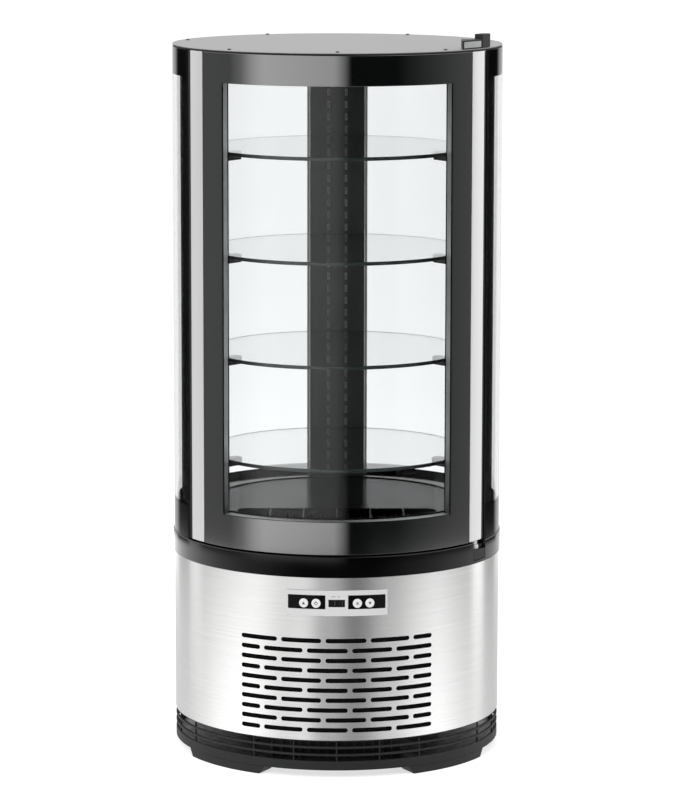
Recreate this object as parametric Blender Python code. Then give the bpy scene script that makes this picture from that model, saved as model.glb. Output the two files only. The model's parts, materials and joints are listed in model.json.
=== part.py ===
"""Round refrigerated display case for a counter top: a glazed upper case on a drum-shaped machine base.

Metres, +Z up. The origin is on the floor, on the axis of the drum. The front is -Y, and a bearing is an
angle in degrees from the front towards +X, so 90 is the right-hand side and 180 is the back.
"""

import math

import bmesh
import bpy
from mathutils import Matrix, Vector

# Clearances, and what a cutter or a joined shape needs beyond the faces that it meets
GAP = 0.0003
CURVED_GAP = 0.0006
OVERLAP = 0.0010
OVERRUN = 0.0100
MERGE = 0.000001

# Round shapes
FACETS = 48
MEDIUM_FACETS = 24
SMALL_FACETS = 16
NOSE_STEPS = 8
CORNER_STEPS = 3
TUBE_RESOLUTION = 2
SHARP_ANGLE = 35

# Glazing round the cabin, whose radius leads: the other round pieces are set in or out from it
GLASS_RADIUS = 0.2245
PANE = 0.0040
INNER_PANE = 0.0035
INNER_PANE_INSET = 0.0205

# Base skirt, a moulded ring with three rows of louvres and four feet
SKIRT_INSET = 0.0005
SKIRT_WALL = 0.0030
SKIRT_FLANGE = 0.0030
SKIRT_FLANGE_REACH = 0.0360
SKIRT_BAND = 0.0125
SKIRT_LIP = 0.0014
LOUVRE_HEIGHT = 0.0069
LOUVRE_BAR = 0.0032
LOUVRE_ROW_COUNT = 3
LOUVRE_RIB = 0.0018
LOUVRE_BEARINGS = (0, 15, 30, 60, 75, 90)
FOOT_HEIGHT = 0.0111
FOOT_DEPTH = 0.0335
FOOT_INSET = 0.0005
FOOT_ANGLE = 34.8
FOOT_BEARINGS = (45, 135, 225, 315)

# Base plate, the pressed floor that carries the machine
PLATE_THICKNESS = 0.0020

# Steel shell round the machine
SHELL_INSET = 0.0005
SHELL_WALL = 0.0012
SHELL_LIP = 0.0080
SHELL_HEIGHT = 0.2217
VENT_SPACING = 0.01356
VENT_SLOT = 0.0061
VENT_LOWEST = 0.0141
VENT_BRIDGE_ANGLE = 1.5
VENT_TOP_MARGIN = 0.0300
FRONT_VENT_HALF_ANGLE = 34.7
FRONT_BRIDGE_FIRST_ANGLE = -20.1
FRONT_BRIDGE_STEP_ANGLE = 15.53
FRONT_BRIDGE_COUNT = 4
REAR_VENT_ROW_COUNT = 4
REAR_VENT_HALF_ANGLE = 22.0
REAR_BRIDGE_FIRST_ANGLE = -7.3
REAR_BRIDGE_STEP_ANGLE = 14.6
REAR_BRIDGE_COUNT = 2

# Cable gland at the back of the shell
GLAND_BEARING = 147
GLAND_RISE = 0.0280
GLAND_RADIUS = 0.0085
GLAND_NECK_RADIUS = 0.0062
GLAND_BORE_RADIUS = 0.0038
GLAND_NECK = 0.0150
GLAND_FLANGE = 0.0030
GLAND_HOLE_CLEARANCE = 0.0005

# Collar that joins the drum to the glazed case
COLLAR_REACH = 0.0015
COLLAR_HEIGHT = 0.0285
COLLAR_WALL = 0.0040
COLLAR_DECK = 0.0040
COLLAR_EDGE = 0.0015

# Insulated tub under the cabin, with the well that holds the evaporator
TUB_INSET = 0.0040
TUB_RIM_RISE = 0.0391
TUB_WALL = 0.0100
TUB_BOTTOM = 0.0140
WELL_INSET = 0.0140
WELL_DEPTH = 0.0540
PASSAGE_WIDTH = 0.0600
PASSAGE_HEIGHT = 0.0180
PASSAGE_FLOOR = 0.0060
PASSAGE_DEPTH = 0.0080

# Floor plate of the cabin, with its ribbed air inlet
FLOOR_INSET = 0.0275
FLOOR_SINK = 0.0015
FLOOR_RISE = 0.0110
FLOOR_THICKNESS = 0.0025
FLOOR_RIM = 0.0030
INLET_BACK = 0.0715
INLET_MARGIN = 0.0080
INLET_CORNER = 0.0150
INLET_RIB = 0.0020
INLET_RIB_COUNT = 5

# Door
DOOR_HALF_ANGLE = 62.4
DOOR_BOTTOM_GAP = 0.0022
DOOR_HEIGHT = 0.6613
DOOR_TOP_GAP = 0.0006
DOOR_THICKNESS = 0.0220
DOOR_INNER_PANE = 0.0030
PROFILE_ANGLE = 8.3
EDGE_GAP_ANGLE = 0.5
PANE_GAP_ANGLE = 0.1
DOOR_RAIL_HEIGHT = 0.0220
GASKET_EDGE_ANGLE = 3.6
GASKET_ANGLE = 5.5
GASKET_RAIL = 0.0250
GASKET_SETBACK = 0.0060

# Door pivot
HINGE_INSET = 0.0085
HINGE_POST_GAP = 0.00045
HINGE_NOTCH = 0.0105
HINGE_SEAT_ANGLE = 8.0
HINGE_SEAT_DEPTH = 0.0190
HINGE_SEAT_BASE = 0.0040
HINGE_SEAT_GAP_ANGLE = 0.15
PIN_RADIUS = 0.0030
PIN_ENGAGEMENT = 0.0110
PIN_FLANGE_RADIUS = 0.0066
BORE_CLEARANCE = 0.0004
BRACKET_BLOCK_HEIGHT = 0.0124
BRACKET_BLOCK_ANGLE = 12.5
BRACKET_END_ANGLE = 1.0
BRACKET_BLOCK_DEPTH = 0.0420
BRACKET_RISER_HEIGHT = 0.0182
BRACKET_RISER_ANGLE = 6.2
BRACKET_RISER_DEPTH = 0.0280

# Front posts, behind the edge of the glass
POST_ANGLE = 9.1
POST_NOSE_ANGLE = 1.0
POST_LIP_ANGLE = 10.9
POST_LIP = 0.0040
POST_LIP_END_ANGLE = 0.4

# Rear air duct and the insulated panel behind it
DUCT_WIDTH = 0.0768
DUCT_INSET = 0.0165
DUCT_WALL = 0.0020
DUCT_SLOT_HEIGHT = 0.0085
DUCT_SLOT_WIDTH = 0.0022
DUCT_SLOT_COLUMN_SPACING = 0.0250
DUCT_SLOT_ROW_SPACING = 0.0174
DUCT_SLOT_END_MARGIN = 0.0200
DUCT_LEDGE_WIDTH = 0.0400
DUCT_LEDGE_REACH = 0.0180
DUCT_LEDGE_THICKNESS = 0.0030
PANEL_HALF_ANGLE = 11.1

# Canopy, its lamp and the top cover
CANOPY_DEPTH = 0.0343
CANOPY_FLANGE = 0.0015
CANOPY_INSET = 0.0008
LAMP_END_MARGIN = 0.0079
LAMP_WIDTH = 0.0160
LAMP_HEIGHT = 0.0090
LAMP_INSET = 0.0465
COVER_INSET = 0.0002
COVER_THICKNESS = 0.0012

# Shelves and their brackets
SHELF_COUNT = 4
SHELF_INSET = 0.0225
SHELF_THICKNESS = 0.0050
LOWEST_SHELF = 0.0720
TOP_SHELF_SPACE = 0.1029
BRACKET_BEARING = 64
BRACKET_REACH = 0.0480
BRACKET_WIDTH = 0.0120
BRACKET_ROOT = 0.0110
BRACKET_TIP = 0.0035

# Controls in the front of the shell
FASCIA_HALF_ANGLE = 17.5
FASCIA_HEIGHT = 0.0348
FASCIA_TOP_MARGIN = 0.0166
FASCIA_THICKNESS = 0.0012
OPENING_HALF_ANGLE = 15.0
OPENING_MARGIN = 0.0060
BUTTON_BEARINGS = (-11.25, -7.0, 7.0, 11.25)
BUTTON_RADIUS = 0.0062
BUTTON_CLEARANCE = 0.0004
BUTTON_PROUD = 0.0010
BUTTON_LENGTH = 0.0085
DISPLAY_ANGLE = 5.6
DISPLAY_HEIGHT = 0.0100
DISPLAY_PROUD = 0.0002
MODULE_HALF_ANGLE = 13.0
MODULE_WIDTH = 0.0960
MODULE_HEIGHT = 0.0340
MODULE_THICKNESS = 0.0030
MODULE_INSET = 0.0205
MODULE_RIB = 0.0030

# Compressor, with its welded feet and terminal box
COMPRESSOR_RADIUS = 0.0640
COMPRESSOR_HEIGHT = 0.1500
COMPRESSOR_INSET = 0.1164
COMPRESSOR_BEARING = 215
COMPRESSOR_CROWN = 0.0320
COMPRESSOR_SHOULDER = 0.0260
COMPRESSOR_SEAM = 0.0030
FEET_LENGTH = 0.1400
FEET_WIDTH = 0.0900
FEET_THICKNESS = 0.0030
GROMMET_RADIUS = 0.0090
GROMMET_HEIGHT = 0.0140
TERMINAL_WIDTH = 0.0420
TERMINAL_DEPTH = 0.0240
TERMINAL_HEIGHT = 0.0500

# Condenser, with its fan, motor and shroud
CONDENSER_WIDTH = 0.1760
CONDENSER_DEPTH = 0.0400
CONDENSER_HEIGHT = 0.1400
CONDENSER_INSET = 0.0460
CONDENSER_FIN_COUNT = 15
CONDENSER_CORE = 0.0120
SHROUD_DEPTH = 0.0240
SHROUD_RIM = 0.0095
FAN_CLEARANCE = 0.0025
FAN_HUB_RADIUS = 0.0200
FAN_HUB_DEPTH = 0.0140
FAN_BLADE_COUNT = 5
FAN_BLADE_THICKNESS = 0.0016
FAN_BLADE_CHORD = 0.0260
FAN_BLADE_ANGLE = 28
FAN_ROOT_SHARE = 0.65
MOTOR_RADIUS = 0.0240
MOTOR_DEPTH = 0.0300
ARM_WIDTH = 0.0060
ARM_THICKNESS = 0.0040
ARM_COUNT = 3
ARM_TURN_ANGLE = 30

# Evaporator, with its fan and frame
EVAPORATOR_HEIGHT = 0.0400
EVAPORATOR_END_MARGIN = 0.0570
EVAPORATOR_CORNER_MARGIN = 0.0350
EVAPORATOR_FAN_SPACE = 0.0310
EVAPORATOR_FIN_COUNT = 13
EVAPORATOR_CORE = 0.0240
CHILL_HUB_RADIUS = 0.0160
CHILL_HUB_DEPTH = 0.0110
CHILL_BLADE_CHORD = 0.0150
CHILL_FRAME_SIDE = 0.0820
CHILL_FRAME_RIM = 0.0025
CHILL_CORNER_MARGIN = 0.0180
CHILL_FRAME_HEIGHT = 0.0250
FIN_THICKNESS = 0.0020

# Drip tray that evaporates the defrost water
TRAY_DEPTH = 0.0900
TRAY_HEIGHT = 0.0280
TRAY_SIDE_GAP = 0.0165
TRAY_CORNER_MARGIN = 0.0280
TRAY_WALL = 0.0015

# Refrigerant lines and the drier between them
LINE_RADIUS = 0.0032
LINE_HOLE_CLEARANCE = 0.0012
LINE_STEPS = 4
LINE_STUB = 0.0130
LINE_RUN = 0.0126
LINE_FRONT_INSET = 0.0050
LINE_OFFSET = 0.0140
LINE_LOW_LOOP = 0.0180
LINE_STUB_SHARE = 0.18
LINE_LOOP_SHARE = 0.41
LINE_CROSSING_SHARE = 0.60
LINE_INSET = 0.0180
DRIER_RADIUS = 0.0095
DRIER_HEADROOM = 0.0342
DRIER_CONE = 0.0100

# Radii of round pieces
SHELL_RADIUS = GLASS_RADIUS - SHELL_INSET
SKIRT_RADIUS = SHELL_RADIUS - SKIRT_INSET
COLLAR_RADIUS = GLASS_RADIUS + COLLAR_REACH
COVER_RADIUS = GLASS_RADIUS - COVER_INSET
CANOPY_RADIUS = COVER_RADIUS - CANOPY_INSET
INNER_PANE_RADIUS = GLASS_RADIUS - INNER_PANE_INSET
DOOR_INSIDE = GLASS_RADIUS - DOOR_THICKNESS
TUB_RADIUS = DOOR_INSIDE - TUB_INSET
POST_INSIDE = TUB_RADIUS + CURVED_GAP
FLOOR_RADIUS = TUB_RADIUS - FLOOR_INSET
WELL_RADIUS = FLOOR_RADIUS - WELL_INSET
TUB_NECK = WELL_RADIUS + TUB_WALL
SHELF_RADIUS = TUB_RADIUS - SHELF_INSET
DUCT_FRONT = TUB_RADIUS - DUCT_INSET
FAN_RADIUS = CONDENSER_HEIGHT / 2 - SHROUD_RIM - FAN_CLEARANCE
CHILL_FAN_RADIUS = CHILL_FRAME_SIDE / 2 - CHILL_FRAME_RIM - FAN_CLEARANCE

# Heights, from the floor up
SKIRT_TOP = (
    FOOT_HEIGHT
    + SKIRT_BAND
    + LOUVRE_ROW_COUNT * LOUVRE_HEIGHT
    + (LOUVRE_ROW_COUNT - 1) * LOUVRE_BAR
    + SKIRT_LIP
)
PLATE_LOW = FOOT_HEIGHT + SKIRT_FLANGE + GAP
PLATE_TOP = PLATE_LOW + PLATE_THICKNESS
MACHINE_LOW = PLATE_TOP + GAP
SHELL_LOW = SKIRT_TOP + GAP
SHELL_HIGH = SHELL_LOW + SHELL_HEIGHT
FASCIA_HIGH = SHELL_HIGH - FASCIA_TOP_MARGIN
FASCIA_LOW = FASCIA_HIGH - FASCIA_HEIGHT
CONTROL_HEIGHT = (FASCIA_LOW + FASCIA_HIGH) / 2
COLLAR_LOW = SHELL_HIGH + GAP
COLLAR_HIGH = COLLAR_LOW + COLLAR_HEIGHT
SEAT_LOW = COLLAR_LOW + HINGE_SEAT_BASE
SEAT_HIGH = COLLAR_HIGH - HINGE_NOTCH
TUB_SHOULDER = COLLAR_HIGH + GAP
TUB_RIM = COLLAR_HIGH + TUB_RIM_RISE
FLOOR_TOP = TUB_RIM - FLOOR_SINK
LEDGE = FLOOR_TOP - FLOOR_RISE - GAP
WELL_FLOOR = LEDGE - WELL_DEPTH
WELL_LOW = WELL_FLOOR + GAP
TUB_LOW = WELL_FLOOR - TUB_BOTTOM
DOOR_LOW = COLLAR_HIGH + DOOR_BOTTOM_GAP
DOOR_HIGH = DOOR_LOW + DOOR_HEIGHT
FLANGE_LOW = DOOR_HIGH + DOOR_TOP_GAP
FLANGE_HIGH = FLANGE_LOW + CANOPY_FLANGE
CEILING = FLANGE_LOW - CANOPY_DEPTH
COVER_LOW = FLANGE_HIGH + GAP
COVER_TOP = COVER_LOW + COVER_THICKNESS
PANE_LOW = COLLAR_HIGH + GAP
PANE_HIGH = FLANGE_LOW - GAP
FAN_HEIGHT = MACHINE_LOW + CONDENSER_HEIGHT / 2
FEET_LOW = MACHINE_LOW + GROMMET_HEIGHT
COMPRESSOR_LOW = FEET_LOW + FEET_THICKNESS
COMPRESSOR_TOP = COMPRESSOR_LOW + COMPRESSOR_HEIGHT
DRIER_LOW = MACHINE_LOW + CONDENSER_HEIGHT + GAP
DRIER_HIGH = TUB_LOW - DRIER_HEADROOM

# Shelves and rows of openings, spread over the heights that they share
SHELF_RISE = CEILING - TOP_SHELF_SPACE - FLOOR_TOP - LOWEST_SHELF
SHELF_TOPS = [
    FLOOR_TOP + LOWEST_SHELF + SHELF_RISE * level / (SHELF_COUNT - 1) for level in range(SHELF_COUNT)
]
VENT_RISE = FASCIA_LOW - VENT_TOP_MARGIN - SHELL_LOW - VENT_LOWEST
FRONT_VENT_ROW_COUNT = 1 + math.floor(VENT_RISE / VENT_SPACING)
DUCT_SLOT_RISE = CEILING - TUB_RIM - 2 * DUCT_SLOT_END_MARGIN
DUCT_SLOT_ROW_COUNT = 1 + math.floor(DUCT_SLOT_RISE / DUCT_SLOT_ROW_SPACING)

# Bearings and places that pieces share
POST_START = DOOR_HALF_ANGLE + EDGE_GAP_ANGLE
POST_END = POST_START + POST_ANGLE
PROFILE_START = DOOR_HALF_ANGLE - PROFILE_ANGLE
DOOR_PANE_ANGLE = PROFILE_START - PANE_GAP_ANGLE
HINGE_RADIUS = GLASS_RADIUS - HINGE_INSET
HINGE_NOSE = HINGE_RADIUS - DOOR_INSIDE
HINGE_BEARING = POST_START - math.degrees(math.asin((HINGE_NOSE + HINGE_POST_GAP) / HINGE_RADIUS))
CONDENSER_FRONT = SHELL_RADIUS - CONDENSER_INSET
CONDENSER_BACK = -CONDENSER_FRONT + CONDENSER_DEPTH
SHROUD_FRONT = CONDENSER_BACK + GAP
SHROUD_BACK = SHROUD_FRONT + SHROUD_DEPTH
CHILL_FRAME_BACK = math.sqrt((WELL_RADIUS - CHILL_CORNER_MARGIN) ** 2 - (CHILL_FRAME_SIDE / 2) ** 2)
EVAPORATOR_END = WELL_RADIUS - EVAPORATOR_END_MARGIN
EVAPORATOR_FRONT = math.sqrt((WELL_RADIUS - EVAPORATOR_CORNER_MARGIN) ** 2 - EVAPORATOR_END**2)
EVAPORATOR_DEPTH = CHILL_FRAME_BACK - CHILL_FRAME_SIDE - EVAPORATOR_FAN_SPACE + EVAPORATOR_FRONT

# Turns an outline of across and up, extruded along Z, into one that stands in the YZ plane
SIDEWAYS = Matrix(((0, 0, 1, 0), (1, 0, 0, 0), (0, 1, 0, 0), (0, 0, 0, 1)))

# Finishes: colour, roughness, metallic, transmission
FINISHES = {
    "matt_black": ((0.020, 0.020, 0.021), 0.60, 0.0, 0.0),
    "gloss_black": ((0.012, 0.012, 0.013), 0.12, 0.0, 0.0),
    "brushed_steel": ((0.70, 0.70, 0.69), 0.30, 1.0, 0.0),
    "aluminium": ((0.80, 0.80, 0.80), 0.35, 1.0, 0.0),
    "zinc": ((0.55, 0.56, 0.57), 0.45, 1.0, 0.0),
    "grey_paint": ((0.52, 0.53, 0.53), 0.45, 0.0, 0.0),
    "glass": ((0.95, 0.98, 0.97), 0.03, 0.0, 1.0),
    "pale_plastic": ((0.62, 0.63, 0.63), 0.40, 0.0, 0.0),
    "white_plastic": ((0.85, 0.85, 0.85), 0.35, 0.0, 0.0),
    "display": ((0.015, 0.012, 0.012), 0.10, 0.0, 0.0),
    "board": ((0.03, 0.15, 0.06), 0.50, 0.0, 0.0),
    "rubber": ((0.015, 0.015, 0.015), 0.75, 0.0, 0.0),
    "copper": ((0.72, 0.36, 0.22), 0.30, 1.0, 0.0),
    "lamp": ((0.90, 0.90, 0.86), 0.30, 0.0, 0.0),
}


def clear_scene():
    """Removes what the scene holds."""
    for item in list(bpy.data.objects):
        bpy.data.objects.remove(item)


def new_collection(name):
    """Adds a collection to the scene."""
    made = bpy.data.collections.new(name)
    bpy.context.scene.collection.children.link(made)
    return made


def make_material(name, finish):
    """A Principled material in one of the finishes."""
    colour, roughness, metallic, transmission = FINISHES[finish]
    made = bpy.data.materials.new(name)
    made.use_nodes = True
    shader = made.node_tree.nodes["Principled BSDF"]
    shader.inputs["Base Color"].default_value = (*colour, 1)
    shader.inputs["Roughness"].default_value = roughness
    shader.inputs["Metallic"].default_value = metallic
    shader.inputs["Transmission Weight"].default_value = transmission
    return made


def at(radius, bearing, height=0.0):
    """The point at a radius and a bearing."""
    angle = math.radians(bearing)
    return Vector((radius * math.sin(angle), -radius * math.cos(angle), height))


def arc(radius, start, end):
    """Points along an arc, with its corners on the facets that all round pieces share."""
    step = 360 / FACETS
    low, high = sorted((start, end))
    shared = [index * step for index in range(math.ceil(low / step), math.floor(high / step) + 1)]
    bearings = [low] + [turn for turn in shared if low + step / 10 < turn < high - step / 10] + [high]
    if end < start:
        bearings.reverse()
    return [at(radius, turn) for turn in bearings]


def round_arc(centre, radius, start, end, steps):
    """Points along an arc about a centre of its own, by angles from the +X axis."""
    turns = [math.radians(start + (end - start) * index / steps) for index in range(steps + 1)]
    return [centre + Vector((radius * math.cos(turn), radius * math.sin(turn), 0)) for turn in turns]


def prism(outline, low, high):
    """An outline in the XY plane, extruded between two heights."""
    shape = bmesh.new()
    face = shape.faces.new([shape.verts.new((point.x, point.y, low)) for point in outline])
    grown = bmesh.ops.extrude_face_region(shape, geom=[face])
    risen = [item for item in grown["geom"] if isinstance(item, bmesh.types.BMVert)]
    bmesh.ops.translate(shape, verts=risen, vec=(0, 0, high - low))
    bmesh.ops.recalc_face_normals(shape, faces=shape.faces)
    return shape


def slab(inner, outer, start, end, low, high):
    """A curved slab between two radii, two bearings and two heights."""
    return prism(arc(outer, start, end) + arc(inner, end, start), low, high)


def block(low, high):
    """A box between two corners."""
    low, high = Vector(low), Vector(high)
    shape = bmesh.new()
    place = Matrix.Translation((low + high) / 2) @ Matrix.Diagonal((*(high - low), 1))
    bmesh.ops.create_cube(shape, size=1, matrix=place)
    return shape


def rod(radius, start, end, sides=SMALL_FACETS):
    """A cylinder between two points."""
    run = end - start
    turn = run.to_track_quat("Z", "Y").to_matrix().to_4x4()
    shape = bmesh.new()
    bmesh.ops.create_cone(
        shape,
        cap_ends=True,
        segments=sides,
        radius1=radius,
        radius2=radius,
        depth=run.length,
        matrix=Matrix.Translation((start + end) / 2) @ turn,
    )
    return shape


def turned(profile, facets=FACETS):
    """A profile of (radius, height) points turned about the Z axis: a ring, or one that ends on the axis."""
    shape = bmesh.new()
    points = [shape.verts.new(at(radius, 0, height)) for radius, height in profile]
    solid = profile[0][0] == 0
    pairs = list(zip(points, points[1:])) if solid else list(zip(points, points[1:] + points[:1]))
    edges = [shape.edges.new(pair) for pair in pairs]
    bmesh.ops.spin(
        shape,
        geom=points + edges,
        cent=(0, 0, 0),
        axis=(0, 0, 1),
        angle=math.tau,
        steps=facets,
        use_merge=True,
    )
    bmesh.ops.remove_doubles(shape, verts=shape.verts, dist=MERGE)
    bmesh.ops.recalc_face_normals(shape, faces=shape.faces)
    return shape


def pipe(points, radius):
    """A tube along points, as a mesh with closed ends."""
    curve = bpy.data.curves.new("pipe", "CURVE")
    curve.dimensions = "3D"
    curve.bevel_depth = radius
    curve.bevel_resolution = TUBE_RESOLUTION
    curve.use_fill_caps = True
    spline = curve.splines.new("POLY")
    spline.points.add(len(points) - 1)
    for spot, point in zip(spline.points, points):
        spot.co = (*point, 1)
    holder = bpy.data.objects.new("pipe", curve)
    bpy.context.scene.collection.objects.link(holder)
    ready = holder.evaluated_get(bpy.context.evaluated_depsgraph_get())
    mesh = bpy.data.meshes.new_from_object(ready)
    shape = bmesh.new()
    shape.from_mesh(mesh)
    bmesh.ops.remove_doubles(shape, verts=shape.verts, dist=MERGE)
    bmesh.ops.recalc_face_normals(shape, faces=shape.faces)
    bpy.data.objects.remove(holder)
    bpy.data.meshes.remove(mesh)
    return shape


def smooth_route(corners, steps=LINE_STEPS):
    """A smooth curve through corner points, with a straight run at both ends."""
    route = [corners[0]]
    for before, start, end, after in zip(corners, corners[1:], corners[2:], corners[3:]):
        for index in range(steps):
            t = index / steps
            bend = (before * -1 + start * 3 - end * 3 + after) * t**3
            bow = (before * 2 - start * 5 + end * 4 - after) * t**2
            route.append((start * 2 + (end - before) * t + bow + bend) / 2)
    return route + corners[-2:]


def pool(shapes):
    """Several shapes in one, for a cutter or for pieces that are joined in one step."""
    whole = bmesh.new()
    for shape in shapes:
        mesh = bpy.data.meshes.new("pooled")
        shape.to_mesh(mesh)
        shape.free()
        whole.from_mesh(mesh)
        bpy.data.meshes.remove(mesh)
    return whole


def place(shape, matrix):
    """Moves a shape by a matrix."""
    bmesh.ops.transform(shape, matrix=matrix, verts=shape.verts)
    return shape


def add_object(name, shape, group, origin=None):
    """Puts a shape into the scene as an object, with its origin where it is asked for."""
    origin = origin or Vector((0, 0, 0))
    bmesh.ops.translate(shape, verts=shape.verts, vec=-origin)
    mesh = bpy.data.meshes.new(name)
    shape.to_mesh(mesh)
    shape.free()
    made = bpy.data.objects.new(name, mesh)
    made.location = origin
    group.objects.link(made)
    return made


def add_part(name, shape, finish, origin=None):
    """A named sub-part with a material of its own."""
    made = add_object(name, shape, PARTS, origin)
    made.data.materials.append(make_material(name + "_finish", finish))
    made.data.shade_smooth()
    made.data.set_sharp_from_angle(angle=math.radians(SHARP_ANGLE))
    return made


def shape_with(part, shape, operation):
    """Cuts a shape from a part, or joins it to the part."""
    tool = add_object(f"{part.name}_{operation.lower()}_{len(part.modifiers)}", shape, GUIDES)
    tool.hide_render = True
    tool.display_type = "WIRE"
    step = part.modifiers.new(tool.name, "BOOLEAN")
    step.operation = operation
    step.solver = "EXACT"
    step.object = tool


def cut(part, shape):
    """Cuts a shape from a part."""
    shape_with(part, shape, "DIFFERENCE")


def join(part, shape):
    """Joins a shape to a part."""
    shape_with(part, shape, "UNION")


def base_skirt():
    """Moulded ring with louvres all round, an inner flange for the base plate, and four feet."""
    inside = SKIRT_RADIUS - SKIRT_WALL
    reach = SKIRT_RADIUS - SKIRT_FLANGE_REACH
    ledge = FOOT_HEIGHT + SKIRT_FLANGE
    profile = [
        (SKIRT_RADIUS, FOOT_HEIGHT),
        (SKIRT_RADIUS, SKIRT_TOP),
        (inside, SKIRT_TOP),
        (inside, ledge),
        (reach, ledge),
        (reach, FOOT_HEIGHT),
    ]
    skirt = add_part("base_skirt", turned(profile), "matt_black")
    outer = SKIRT_RADIUS - FOOT_INSET
    half = FOOT_ANGLE / 2
    feet = [
        slab(outer - FOOT_DEPTH, outer, bearing - half, bearing + half, 0, FOOT_HEIGHT + OVERLAP)
        for bearing in FOOT_BEARINGS
    ]
    join(skirt, pool(feet))
    ribs = sorted({turn % 360 for b in LOUVRE_BEARINGS for turn in (b, -b, 180 - b, 180 + b)})
    rib_half = math.degrees(LOUVRE_RIB / SKIRT_RADIUS) / 2
    openings = []
    for row in range(LOUVRE_ROW_COUNT):
        low = FOOT_HEIGHT + SKIRT_BAND + row * (LOUVRE_HEIGHT + LOUVRE_BAR)
        for start, end in zip(ribs, ribs[1:] + [ribs[0] + 360]):
            openings.append(
                slab(
                    inside - OVERRUN,
                    SKIRT_RADIUS + OVERRUN,
                    start + rib_half,
                    end - rib_half,
                    low,
                    low + LOUVRE_HEIGHT,
                )
            )
    cut(skirt, pool(openings))


def base_plate():
    """Round steel floor of the machine space, lying on the flange of the skirt."""
    radius = SKIRT_RADIUS - SKIRT_WALL - CURVED_GAP
    add_part("base_plate", prism(arc(radius, 0, 360)[:-1], PLATE_LOW, PLATE_TOP), "zinc")


def vent_slots(centre, rows, half_angle, first, step, count):
    """Cutters for rows of vents. The bridges between the slots swap sides from one row to the next."""
    slots = []
    inner = SHELL_RADIUS - SHELL_WALL - OVERRUN
    outer = SHELL_RADIUS + OVERRUN
    for row in range(rows):
        side = -1 if row % 2 == 0 else 1
        bridges = sorted(side * (first + index * step) for index in range(count))
        edges = [-half_angle]
        for bridge in bridges:
            edges += [bridge - VENT_BRIDGE_ANGLE / 2, bridge + VENT_BRIDGE_ANGLE / 2]
        edges.append(half_angle)
        low = SHELL_LOW + VENT_LOWEST + row * VENT_SPACING - VENT_SLOT / 2
        for start, end in zip(edges[::2], edges[1::2]):
            slots.append(slab(inner, outer, centre + start, centre + end, low, low + VENT_SLOT))
    return slots


def steel_shell():
    """Brushed steel drum with vents at the front and the back, and a window for the controls."""
    inside = SHELL_RADIUS - SHELL_WALL
    profile = [
        (SHELL_RADIUS, SHELL_LOW),
        (SHELL_RADIUS, SHELL_HIGH),
        (inside, SHELL_HIGH),
        (inside, SHELL_LOW + SHELL_WALL),
        (inside - SHELL_LIP, SHELL_LOW + SHELL_WALL),
        (inside - SHELL_LIP, SHELL_LOW),
    ]
    shell = add_part("steel_shell", turned(profile), "brushed_steel")
    front = vent_slots(
        0,
        FRONT_VENT_ROW_COUNT,
        FRONT_VENT_HALF_ANGLE,
        FRONT_BRIDGE_FIRST_ANGLE,
        FRONT_BRIDGE_STEP_ANGLE,
        FRONT_BRIDGE_COUNT,
    )
    rear = vent_slots(
        180,
        REAR_VENT_ROW_COUNT,
        REAR_VENT_HALF_ANGLE,
        REAR_BRIDGE_FIRST_ANGLE,
        REAR_BRIDGE_STEP_ANGLE,
        REAR_BRIDGE_COUNT,
    )
    window = slab(
        inside - OVERRUN,
        SHELL_RADIUS + OVERRUN,
        -OPENING_HALF_ANGLE,
        OPENING_HALF_ANGLE,
        FASCIA_LOW + OPENING_MARGIN,
        FASCIA_HIGH - OPENING_MARGIN,
    )
    height = SHELL_LOW + GLAND_RISE
    hole = rod(
        GLAND_NECK_RADIUS + GLAND_HOLE_CLEARANCE,
        at(inside - OVERRUN, GLAND_BEARING, height),
        at(SHELL_RADIUS + OVERRUN, GLAND_BEARING, height),
    )
    cut(shell, pool([*front, *rear, window, hole]))


def cable_gland():
    """Gland where the mains lead enters, with its neck in a hole of the shell."""
    height = SHELL_LOW + GLAND_RISE
    face = SHELL_RADIUS + GAP
    inner = SHELL_RADIUS - GLAND_NECK
    head = rod(
        GLAND_RADIUS,
        at(face, GLAND_BEARING, height),
        at(face + GLAND_FLANGE, GLAND_BEARING, height),
    )
    gland = add_part("cable_gland", head, "matt_black")
    join(
        gland,
        rod(
            GLAND_NECK_RADIUS,
            at(inner, GLAND_BEARING, height),
            at(face + OVERLAP, GLAND_BEARING, height),
        ),
    )
    cut(
        gland,
        rod(
            GLAND_BORE_RADIUS,
            at(inner - OVERRUN, GLAND_BEARING, height),
            at(face + OVERRUN, GLAND_BEARING, height),
        ),
    )


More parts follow.
